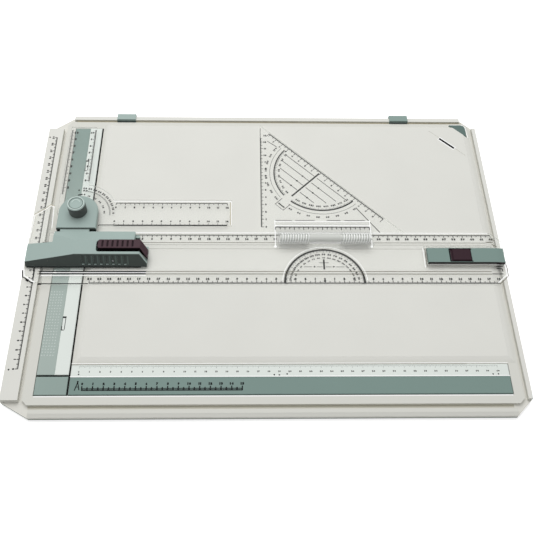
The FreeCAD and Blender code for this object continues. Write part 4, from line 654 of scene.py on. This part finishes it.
def print_blade():
    """The two scales of the parallel ruler and its half-circle protractor."""
    under = blade_low.z - INK_LIFT
    centre, base, rim = 240.0, -0.5, 41.2
    marks = Print(zero_x - 1.0, blade_low.y + 2.3)
    marks.scale(0, 420, base=0.0, reach=(1.3, 2.4, 3.2))
    marks.numbers((abs(n - 24) for n in range(43)), y=5.1, height=2.7)
    marks.arc(centre, base, radius=41.3, start=0.0, end=180.0, width=1.9)
    for i in range(181):
        inner = rim - tick_length(i, (1.3, 2.6, 3.4))
        marks.spoke(centre, base, outer=rim, inner=inner, angle=i, width=0.4)
    for i in range(1, 18):
        for radius, value, size in ((35.6, 10 * i, 2.3), (31.4, 180 - 10 * i, 1.7)):
            x, y = turned(radius, 0.0, 10.0 * i)
            marks.number(value, centre + x, base + y, height=size, angle=10.0 * i - 90.0)
    marks.line(centre, 16.7, centre, 29.0, width=1.7)
    for x0, x1 in ((-21.0, -12.6), (-7.6, -1.8), (1.8, 7.6), (12.6, 21.0)):
        marks.line(centre + x0, 19.8, centre + x1, 19.8, width=0.5)
    marks.line(centre - 5.0, 24.8, centre + 5.0, 24.8, width=0.5)
    marks.dot(centre - 10.0, 19.9, radius=0.9)
    marks.dot(centre + 10.0, 19.9, radius=0.9)
    marks.dot(centre, 2.7, radius=1.3)
    marks.build("blade_lower_scale", under, "parallel_ruler", INK_AND_SHADE)

    upper = Print(zero_x - 1.0, blade_high.y - 1.7)
    upper.scale(0, 420, base=0.0, reach=(-0.8, -2.0, -3.0))
    upper.numbers(range(43), y=-5.0, height=2.7)
    upper.build("blade_upper_scale", under, "parallel_ruler", INK_AND_SHADE)


def print_head_ruler():
    """The scales and the quarter circle on the drawing head's L-shaped ruler."""
    low, high = corner_box("protractor_ruler")
    under = low.z - INK_LIFT
    start_x = zero_x + SIDE_ARM_START
    side = Print(start_x, pivot_y)
    upper, lower = 15.9, -14.0
    side.scale(0, 120, base=upper, reach=(-0.8, -1.9, -2.8))
    side.scale(0, 120, base=lower, reach=(1.3, 2.2, 3.2), width=0.3)
    for n in range(13):
        side.number(n, CM * n, upper - 5.8, height=2.5)
        side.number(n, CM * n, lower + 5.8, height=2.4)
    side.build("head_ruler_side_scale", under, "protractor", INK_AND_SHADE)

    up = Print(low.x, zero_y + 195.0)
    left, right = 1.0, 28.6
    left_start, right_start, end = 11, 29, 104
    for i in range(left_start, end + 1):
        tall = tick_length(i, (1.4, 2.2, 3.0))
        up.line(left, i, left + tall, i, width=0.6)
        if i >= right_start:
            up.line(right, i, right - tall, i, width=0.6)
    up.line(left, left_start, left, end, width=0.4)
    up.line(right, right_start, right, end, width=0.8)
    for n in range(2, 11):
        up.number(n, 6.4, CM * n, height=3.4)
        if n > 2:
            up.number(n, 24.4, CM * n, height=2.8)
    for x, y in ((19.0, 16.3), (24.5, 16.3), (27.4, 15.8), (22.0, 10.2), (25.5, 10.4)):
        up.dot(x, y, radius=1.0)
    up.line(18.6, 9.4, 23.4, 10.6, width=1.9)
    up.build("head_ruler_upright_scale", under, "protractor", INK_AND_SHADE)

    quarter = Print(pivot_x, pivot_y)
    for i in range(10):
        x, y = turned(35.9, 0.0, 4.0 + 9.2 * i)
        quarter.number(10 * i, x, y, height=2.6, angle=9.2 * i - 86.0)
        if i % 2 == 0:
            x, y = turned(26.2, 0.0, 8.0 + 8.2 * i)
            quarter.number(90 - 10 * i, x, y, height=2.2, angle=8.2 * i - 82.0)
    quarter.build("head_ruler_protractor", under, "protractor", INK_AND_SHADE)
    ticks = Print(pivot_x, pivot_y)
    for i in range(91):
        ticks.spoke(0.0, 0.0, outer=33.0, inner=31.4, angle=i, width=0.3)
    ticks.build("head_ruler_degrees", under, "protractor", PALE_INK)

    # Painted highlights along the ruler's rear edge and its right end.
    bright = Print(start_x, pivot_y)
    bright.line(-3.0, 17.0, 124.5, 17.0, width=1.1)
    bright.line(124.6, lower, 124.6, 16.5, width=0.8)
    bright.build("head_ruler_bright_edges", high.z + INK_LIFT, "protractor", HIGHLIGHT)
    # Painted shade along the ruler's front edge.
    edge = Print(start_x, pivot_y)
    edge.path([(-16.0, lower - 2.0), (-15.0, lower - 0.6), (120.0, lower - 0.6)], width=1.0)
    edge.build("head_ruler_front_shade", high.z + 2.0 * INK_LIFT, "protractor", INK_AND_SHADE)
    # Painted shade along the ruler's right end.
    beige = Print(start_x, pivot_y)
    beige.line(123.6, lower - 0.5, 123.6, 15.5, width=0.8)
    beige.build("head_ruler_end_shade", high.z + INK_LIFT, "protractor", BEIGE_SHADE)


def print_set_square():
    """Edge scales, half circle, height lines and degree numbers of the set square."""
    low = corner_box("set_square")[0]
    under = low.z - INK_LIFT
    left = Print(low.x + 0.6, low.y - 0.5, 90.0)
    left.scale(10, 136, base=0.0, reach=(-1.3, -2.2, -3.0))
    left.line(136.0, 0.0, 151.0, 0.0, width=0.6)
    for n in range(14):
        left.number(n, CM + CM * n, -5.2, height=2.4, angle=-90.0)
    left.build("square_left_scale", under, "square", INK_AND_SHADE)

    slope = Print(zero_x + 243.0, zero_y + 239.6, -45.0)
    first, last = -82, 90
    slope.scale(first, last, base=0.0, reach=(-1.3, -2.4, -3.4))
    for x in (first, last):
        slope.line(x, 0.0, x, -6.0, width=0.7)
    for n in range(-7, 9):
        if n:
            slope.number(abs(n), CM * n, -5.6, height=2.4)
    # The half circle: its middle, and its two parts on either side of the height line.
    across, away = -0.8, -1.8
    for start, end, width in ((184.0, 262.0, 1.3), (274.0, 356.0, 1.7)):
        slope.arc(across, away, radius=51.8, start=start, end=end, width=width)
        slope.arc(across, away, radius=56.6, start=start, end=end, width=0.4)
    for i in range(185, 356):
        if not 262 < i < 274:
            tall = 2.8 if i % 5 == 0 else 1.6
            slope.spoke(across, away, outer=51.4, inner=51.4 - tall, angle=i, width=0.3)
    for i in range(1, 18):
        if i == 9:
            continue
        for radius, value in ((46.4, 10 * i), (61.0, 180 - 10 * i)):
            x, y = turned(radius, 0.0, 180.0 + 10.0 * i)
            slope.number(value, across + x, away + y, height=2.4, angle=10.0 * i + 90.0)
    height_line = -1.2
    slope.line(height_line, -4.4, height_line, -46.8, width=1.9)
    slope.dot(height_line, -3.6, radius=1.2)
    slope.dot(height_line, -46.8, radius=1.2)
    for level, left_end, right_end in (
        (9.4, -48.0, 45.0),
        (18.6, -44.0, 38.0),
        (28.0, -38.0, 32.0),
        (37.4, -30.0, 22.0),
    ):
        slope.line(left_end, -level, -2.5, -level, width=0.75)
        slope.line(1.5, -level, right_end, -level, width=0.75)
        if level > 10.0:
            slope.dot(-12.0, -level, radius=1.1)
            slope.dot(12.0, -level, radius=1.1)
    for x in (-6.5, 5.5):
        slope.line(x, -57.5, x, -68.5, width=0.7)
    slope.line(-6.5, -68.5, 5.5, -68.5, width=0.5)
    slope.line(-5.0, -65.0, 4.0, -65.0, width=1.5)
    slope.line(59.1, -9.6, 98.9, -16.5, width=0.9)
    slope.line(-76.0, -9.5, -61.5, -8.2, width=0.8)
    slope.build("square_slope_scale", under, "square", INK_AND_SHADE)


def print_rolling_ruler():
    """The ten-centimetre scale at the rolling ruler's rear, and painted highlights on its edges.
    """
    high = corner_box("rolling_base")[1]
    start_x, start_y = zero_x + ROLLING_SCALE[0], zero_y + ROLLING_SCALE[1]
    marks = Print(start_x, start_y)
    marks.scale(0, 100, base=0.0, reach=(-1.1, -3.0, -3.8), width=0.45)
    for x0, x1 in ((0.0, 18.0), (21.0, 42.0), (55.0, 70.0), (74.0, 96.0)):
        marks.line(x0, 8.6, x1, 8.6, width=0.7)
    marks.build("rolling_ruler_scale", high.z + INK_LIFT, "rolling_ruler", INK_AND_SHADE)
    bright = Print(start_x, start_y)
    bright.line(-0.5, 1.6, 101.0, 1.6, width=1.5)
    bright.line(-0.5, 7.4, 101.0, 7.4, width=1.2)
    for x in (-0.6, 101.0):
        bright.line(x, -26.0, x, 9.0, width=1.0)
    bright.dot(-0.6, -25.0, radius=1.6)
    bright.dot(100.4, -25.0, radius=1.6)
    bright.build("rolling_ruler_bright_edges", high.z + INK_LIFT, "rolling_ruler", HIGHLIGHT)


# ------------------------------------------------------------------ fine relief and painted shading


def new_piece(name, points, faces, body, material, smooth=False):
    """A mesh piece given in millimetres, riding on a body."""
    mesh = bpy.data.meshes.new(name)
    mesh.from_pydata([(x * MM, y * MM, z * MM) for x, y, z in points], [], faces)
    mesh.materials.append(material)
    if smooth:
        mesh.shade_smooth()
    piece = bpy.data.objects.new(name, mesh)
    bpy.context.collection.objects.link(piece)
    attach(piece, body)


# Dots on the clamp's grip: the first one's place left of and behind the zero, columns, rows and
# their spacing, and the size and sides of a dot.
DOTS_LEFT, DOTS_FRONT = 37.4, 14.6
DOT_COLUMNS, DOT_ROWS = 5, 23
DOT_PITCH_X, DOT_PITCH_Y = 2.7, 3.2
DOT_STAGGER = 0.3
DOT_RISE, DOT_RADIUS, DOME_SIDES = 0.25, 0.75, 6
# Behind the zero: the middles of the clamp's two windows, and half the length of one.
WINDOW_MIDDLES = (48.9, 249.0)
WINDOW_HALF = 7.5

# The head's leaning front: its slant over its height, where its grooves start left of the zero,
# and the crests between them, which carry painted highlights.
FRONT_SLANT, FRONT_HEIGHT = 7.1, 13.0
GROOVES_LEFT, CREST_AFTER_GROOVE = 9.4, 3.5
CRESTS, CREST_PITCH, CREST_WIDTH = 8, 6.1, 1.5
CREST_FOOT, CREST_TOP, CREST_LIFT = 2.2, 11.2, 0.06

# The roller's ribs: the length of a sleeve, the spacing, slant and half width of a rib, its steps
# round the sleeve and how far it stands off it.
SLEEVE = 31.0
RIB_PITCH, RIB_SLANT, RIB_HALF = 2.7, 1.6, 0.45
RIB_STEPS = 16
RIB_LIFT = 0.05

# Outlines on the ruler's clear end pieces, measured from the zero of the printed scales, along
# which painted shade and highlights are drawn.
SLIDE_OUTLINE = [
    (-68.0, 148.7),
    (-67.3, 178.5),
    (-57.2, 186.1),
    (-52.1, 191.2),
    (-48.4, 189.9),
    (-47.0, 162.2),
]
NOSE_RIM = [(-69.6, 108.6), (-68.1, 100.2), (-64.8, 98.5), (-59.4, 94.1), (-56.4, 92.8)]
NOSE_SEAM = [(-58.5, 111.0), (-57.1, 102.6), (-57.8, 98.5)]
RIGHT_CORNER = [(418.1, 92.1), (421.2, 94.5), (428.7, 101.7), (429.2, 115.2)]
RIGHT_BEVELS = [
    [(416.9, 147.3), (422.1, 146.0)],
    [(412.0, 143.4), (419.5, 143.4)],
    [(418.0, 140.9), (422.7, 137.7)],
]
RIGHT_SHADE = [
    [(415.7, 113.3), (424.8, 113.3)],
    [(417.9, 110.9), (423.5, 110.3), (424.0, 107.2)],
    [(412.5, 104.1), (424.0, 104.1)],
]


def add_grip_dots():
    """The field of low domes on the clamp's grip, five across."""
    top = corner_box("clamp_grip")[1].z
    points, faces = [], []
    for row in range(DOT_ROWS):
        for column in range(DOT_COLUMNS):
            x = zero_x - DOTS_LEFT + column * DOT_PITCH_X + (DOT_STAGGER if row % 2 else 0.0)
            y = zero_y + DOTS_FRONT + row * DOT_PITCH_Y
            start = len(points)
            for level, reach in ((0.0, 1.0), (0.7, 0.7)):
                for side in range(DOME_SIDES):
                    px, py = turned(DOT_RADIUS * reach, 0.0, 360.0 * side / DOME_SIDES)
                    points.append((x + px, y + py, top + DOT_RISE * level))
            points.append((x, y, top + DOT_RISE))
            for side in range(DOME_SIDES):
                after = (side + 1) % DOME_SIDES
                inner, inner_after = start + DOME_SIDES + side, start + DOME_SIDES + after
                faces.append((start + side, start + after, inner_after, inner))
                faces.append((inner, inner_after, start + 2 * DOME_SIDES))
    new_piece("clamp_grip_dots", points, faces, "clamp_bar", DOT_GREY, True)


def add_seams():
    """Painted shade in the gaps between the clamp, the corner block and the drawing surface."""
    jaw_low, jaw_high = corner_box("clamp_jaw")
    grip_low = corner_box("clamp_grip")[0]
    block_low, block_high = corner_box("corner_block")
    marks = Print(0.0, 0.0)
    x = jaw_high.x + 0.9
    y = (block_high.y + jaw_low.y) / 2.0
    marks.line(x, block_low.y, x, jaw_high.y, width=1.4)
    marks.line(grip_low.x, y, jaw_high.x, y, width=1.4)
    marks.build("clamp_seam_shade", jaw_high.z - 0.4, "board", SHADOW_BLACK)


def add_window_shade():
    """Painted shade round the pale tab in each of the clamp's two windows."""
    low, high = corner_box("clamp_jaw")
    marks = Print(low.x, zero_y)
    for middle in WINDOW_MIDDLES:
        front, rear = middle - WINDOW_HALF, middle + WINDOW_HALF
        marks.line(0.0, rear - 0.4, 3.6, rear - 0.4, width=1.8)
        marks.line(3.1, rear - 1.0, 3.1, front + 1.0, width=0.6)
        marks.line(0.0, front + 0.4, 2.4, front + 0.4, width=0.9)
        marks.line(0.2, front + 0.4, 0.2, front + 5.0, width=0.7)
    marks.build("clamp_window_shade", high.z + INK_LIFT, "clamp_bar", INK_AND_SHADE)


def add_board_lines():
    """Painted highlights and painted shade along the pale strip, the grey bar and the grooves."""
    strip_low, strip_high = corner_box("bottom_scale_strip")
    bar_low, bar_high = corner_box("bottom_bar")
    block_low = corner_box("corner_block")[0]
    groove_left, groove_right = board_low.x + 26.0, board_high.x - 18.0
    bright = Print(0.0, 0.0)
    bright.line(strip_low.x, strip_low.y - 0.5, strip_high.x, strip_low.y - 0.5, width=1.1)
    bright.line(strip_low.x, strip_high.y + 0.8, strip_high.x, strip_high.y + 0.8, width=0.7)
    bright.build("bar_bright_lines", SURFACE_TOP + INK_LIFT, "board", HIGHLIGHT)
    border = Print(0.0, 0.0)
    border.line(block_low.x, bar_low.y - 1.3, bar_high.x, bar_low.y - 1.3, width=1.1)
    border.build("border_bright_line", BORDER_TOP + INK_LIFT, "board", HIGHLIGHT)
    # Painted shadow on the front groove's floor, darker nearer the border's wall, paler further
    # out.
    shadow_strip = Print(0.0, 0.0)
    shadow_strip.line(groove_left, board_low.y + 11.0, groove_right, board_low.y + 11.0, width=1.7)
    shadow_strip.build("front_groove_shadow", GROOVE_FLOOR + INK_LIFT, "board", GROOVE_SHADOW_DARK)
    thin = Print(0.0, 0.0)
    thin.line(groove_left, board_low.y + 9.5, groove_right, board_low.y + 9.5, width=1.4)
    thin.build("front_groove_faint_shadow", GROOVE_FLOOR + INK_LIFT, "board", GROOVE_SHADOW_PALE)
    # A painted shade line along the pale strip's rear edge.
    dark = Print(0.0, 0.0)
    dark.line(strip_low.x, strip_high.y - 0.3, strip_high.x - 40.0, strip_high.y - 0.3, width=0.5)
    dark.build("strip_rear_shade_line", SURFACE_TOP + INK_LIFT, "board", EDGE_SHADE)
    # A beige strip of painted shade, hung above the rear groove's floor.
    rear = Print(0.0, 0.0)
    rear_y = board_high.y - 6.5
    rear.line(board_low.x + 30.0, rear_y, board_high.x - 14.0, rear_y, width=2.3)
    rear.build("rear_groove_shade_strip", REAR_STRIP_LEVEL, "board", BEIGE_SHADE)


def add_head_ribs():
    """Painted highlights on the crests between the grooves of the head's leaning front."""
    front_y = corner_box("head_housing")[0].y
    points, faces = [], []
    for i in range(CRESTS):
        left = zero_x - GROOVES_LEFT + CREST_PITCH * i + CREST_AFTER_GROOVE
        start = len(points)
        for x in (left, left + CREST_WIDTH):
            for rise in (CREST_FOOT, CREST_TOP):
                lean = FRONT_SLANT * rise / FRONT_HEIGHT
                points.append((x, front_y + lean - CREST_LIFT, blade_high.z + rise))
        faces.append((start, start + 2, start + 3, start + 1))
    new_piece("head_front_crest_highlights", points, faces, "parallel_ruler", CREST_HIGHLIGHT)


def add_head_foot_line():
    """A black line of painted shadow where the head's front meets the ruler."""
    low, high = corner_box("head_housing")
    marks = Print(0.0, low.y - 0.5)
    marks.line(low.x + 1.0, 0.0, high.x - 6.0, 0.0, width=1.2)
    marks.build("head_foot_shadow", blade_high.z + INK_LIFT, "parallel_ruler", SHADOW_BLACK)


def add_hub_shade():
    """Painted shade in the gaps under the front edge of the hub, on both sides of its tongue."""
    top = corner_box("protractor_ruler")[1].z
    marks = Print(pivot_x, pivot_y - 22.1)
    marks.line(-20.4, -0.5, -16.6, -0.5, width=1.6)
    marks.line(14.0, -0.5, 20.4, -0.5, width=1.6)
    marks.build("hub_gap_shade", top + INK_LIFT, "parallel_ruler", SHADOW_BLACK)


def add_blade_lines():
    """Painted shade and highlights where the thin strips rise to the thick middle, and round the
    ends.
    """
    # Painted shade along the slopes and the right end's corner and bevels.
    marks = Print(zero_x, zero_y)
    for y, width in ((103.9, 0.8), (107.0, 0.7), (142.6, 0.6), (139.8, 0.3), (134.8, 0.3)):
        marks.line(-54.0, y, 412.0, y, width=width)
    marks.path(RIGHT_CORNER, width=0.7)
    for points in RIGHT_BEVELS:
        marks.path(points, width=0.8)
    marks.build("blade_slope_lines", blade_high.z + INK_LIFT, "parallel_ruler", EDGE_SHADE)

    # Painted shade along the clear slide plate's outline.
    faint = Print(zero_x, zero_y)
    faint.path(SLIDE_OUTLINE, width=0.9)
    faint.build("slide_plate_outline", blade_high.z + INK_LIFT, "parallel_ruler", BEIGE_SHADE)

    # Black lines: a painted reflection of the head's dark front in the slopes, and painted shade
    # along the outlines of the clear ends.
    dark = Print(zero_x, zero_y)
    for y in (104.1, 106.6):
        dark.line(-52.0, y, 56.0, y, width=1.5)
    dark.line(-52.0, 92.3, -1.0, 92.3, width=1.0)
    dark.path(NOSE_RIM, width=1.1)
    dark.path(NOSE_SEAM, width=1.1)
    dark.line(-64.5, 97.4, -61.5, 95.0, width=1.8)
    dark.line(-52.0, 91.7, -48.0, 91.7, width=1.8)
    for points in RIGHT_SHADE:
        dark.path(points, width=1.0)
    dark.build("blade_dark_lines", blade_high.z + 2.0 * INK_LIFT, "parallel_ruler", INK_AND_SHADE)

    # Painted highlights beside the dark lines.
    bright = Print(zero_x, zero_y)
    bright.line(-50.0, 105.6, 56.0, 105.6, width=1.3)
    bright.line(-50.0, 102.0, 56.0, 102.0, width=1.2)
    bright.line(-44.0, 155.0, 416.0, 155.0, width=1.1)
    bright.arc(239.0, 93.4, radius=43.6, start=4.0, end=176.0, width=0.7)
    bright.path([(x, y - 1.0) for x, y in SLIDE_OUTLINE], width=1.0)
    bright.path([(x + 1.5, y + 1.2) for x, y in NOSE_RIM], width=1.2)
    bright.path([(x - 1.3, y + 1.5) for x, y in RIGHT_CORNER], width=1.2)
    bright.dot(-36.2, 106.0, radius=1.8)
    bright.build("blade_bright_lines", blade_high.z + 1.5 * INK_LIFT, "parallel_ruler", HIGHLIGHT)


def add_roller_ribs():
    """Fine slanting ribs round the two ends of the roller, white as a painted highlight."""
    low, high = corner_box("roller_sleeves")
    centre_y, centre_z = (low.y + high.y) / 2.0, (low.z + high.z) / 2.0
    radius = (high.z - low.z) / 2.0 + RIB_LIFT
    points, faces = [], []
    for first in (low.x + 1.5, high.x - SLEEVE + 1.5):
        x = first
        while x < first + SLEEVE - 3.0:
            start = len(points)
            for step in range(RIB_STEPS):
                angle = 360.0 * step / RIB_STEPS
                y, z = turned(radius, 0.0, angle)
                lean = RIB_SLANT * math.sin(math.radians(angle))
                for side in (-RIB_HALF, RIB_HALF):
                    points.append((x + lean + side, centre_y + y, centre_z + z))
            for step in range(RIB_STEPS):
                here, after = start + 2 * step, start + 2 * ((step + 1) % RIB_STEPS)
                faces.append((here, here + 1, after + 1, after))
            x += RIB_PITCH
    new_piece("roller_ribs", points, faces, "roller", RIB_HIGHLIGHT_WHITE, True)


def add_lever_grooves():
    """Painted shade on the floors of the grooves across the lever's top."""
    low, high = corner_box("lock_lever")
    grooves, first, pitch, width, depth = 7, 3.8, 5.1, 2.1, 0.6
    grip, inset = 10.6, 1.6
    front, rear = high.y - low.y - grip + inset, high.y - low.y - inset
    marks = Print(low.x, low.y)
    for i in range(grooves):
        x = first + i * pitch + width / 2.0
        marks.line(x, front, x, rear, width=width - 0.2)
    marks.build("lever_groove_floor_shade", high.z - depth + INK_LIFT, "lever", LEVER_GROOVE_SHADE)


def add_slot_shade():
    """A black sheet of painted shade inside the opening that the lever stands in."""
    low, high = corner_box("lock_lever")
    marks = Print(low.x, high.y)
    marks.line(-1.9, -6.6, 42.0, -6.6, width=13.0)
    marks.build("lever_slot_shade", high.z - 9.0, "parallel_ruler", SHADOW_BLACK)


def add_knob_rings():
    """Painted highlights on the knob's rim and a short arc inside, with painted shade between."""
    low, high = corner_box("clamp_knob")
    x, y = (low.x + high.x) / 2.0, (low.y + high.y) / 2.0
    rim = Print(x, y)
    rim.arc(0.0, 0.0, radius=8.1, start=0.0, end=360.0, width=0.8)
    rim.arc(0.0, 0.3, radius=4.3, start=20.0, end=170.0, width=0.7)
    rim.build("knob_bright_rim", high.z + INK_LIFT, "knob", RIM_HIGHLIGHT)
    shade = Print(x, y)
    shade.arc(0.0, 0.0, radius=7.2, start=0.0, end=360.0, width=0.8)
    shade.build("knob_dark_ring", high.z + INK_LIFT, "knob", RING_SHADE)


def add_button_shade():
    """Painted shade in the gap round the brake button, open on the right, on the right cover."""
    low, high = corner_box("brake_button")
    top = corner_box("right_cover")[1].z
    inset = 0.3
    left, right = low.x + inset, high.x - inset
    front, rear = low.y + inset, high.y - inset
    marks = Print(0.0, 0.0)
    marks.path([(right, front), (left, front), (left, rear), (right, rear)], width=1.2)
    marks.build("button_gap", top + INK_LIFT, "parallel_ruler", SHADOW_BLACK)


def add_slit_shade():
    """Painted shade and highlights at the paper slit in the board's rear right corner."""
    marks = Print(zero_x, zero_y)
    marks.line(383.6, 292.0, 398.9, 277.1, width=2.5)
    marks.build("slit_shade", SURFACE_TOP + 2.0 * INK_LIFT, "board", SHADOW_BLACK)
    edges = Print(zero_x, zero_y)
    edges.line(383.0, 292.6, 399.5, 276.5, width=5.2)
    edges.build("slit_bright_edges", SURFACE_TOP + INK_LIFT, "board", HIGHLIGHT)


def add_tray_lines():
    """Painted shade and highlights on the clear tray's edges, a highlight on the paper corner."""
    dark = Print(zero_x, zero_y)
    dark.path([(346.1, 135.7), (346.0, 113.7), (413.6, 113.7)], width=1.0)
    dark.build("tray_dark_lines", blade_high.z + 2.0 * INK_LIFT, "parallel_ruler", EDGE_SHADE)
    bright = Print(zero_x, zero_y)
    bright.path([(344.2, 136.1), (344.1, 112.1)], width=1.2)
    bright.line(348.0, 115.5, 422.0, 115.5, width=1.3)
    bright.build("tray_bright_lines", blade_high.z + 1.5 * INK_LIFT, "parallel_ruler", HIGHLIGHT)
    edge = Print(zero_x, zero_y)
    edge.path([(397.4, 313.0), (412.4, 313.8), (416.6, 309.8), (417.6, 293.2)], width=0.8)
    edge.build("corner_bright_edge", SURFACE_TOP + INK_LIFT, "board", HIGHLIGHT)


# Painted shadow in the front groove, darker and paler.
GROOVE_SHADOW_DARK = moulded("groove_shadow_dark", colour(184, 181, 166), roughness=0.8)
GROOVE_SHADOW_PALE = moulded("groove_shadow_pale", colour(204, 202, 190), roughness=0.8)
# Painted highlight on the crests of the head's front.
CREST_HIGHLIGHT = moulded("crest_highlight", colour(92, 105, 101), roughness=0.5)
# Painted shade in the lever's grooves.
LEVER_GROOVE_SHADE = moulded("lever_groove_shade", colour(40, 27, 32), roughness=0.6)
# Painted highlight on the knob's rim, and painted shade in its ring.
RIM_HIGHLIGHT = moulded("knob_rim_highlight", colour(208, 221, 216), roughness=0.35)
RING_SHADE = moulded("knob_ring_shade", colour(104, 120, 115), roughness=0.5)
DOT_GREY = moulded("dot_grey", colour(198, 207, 203), roughness=0.5)

add_grip_dots()
add_seams()
add_window_shade()
add_board_lines()
add_head_ribs()
add_head_foot_line()
add_hub_shade()
add_blade_lines()
add_roller_ribs()
add_lever_grooves()
add_slot_shade()
add_knob_rings()
add_button_shade()
add_slit_shade()
add_tray_lines()
print_left_rail()
print_bottom_strip()
print_bottom_bar()
print_blade()
print_head_ruler()
print_set_square()
print_rolling_ruler()
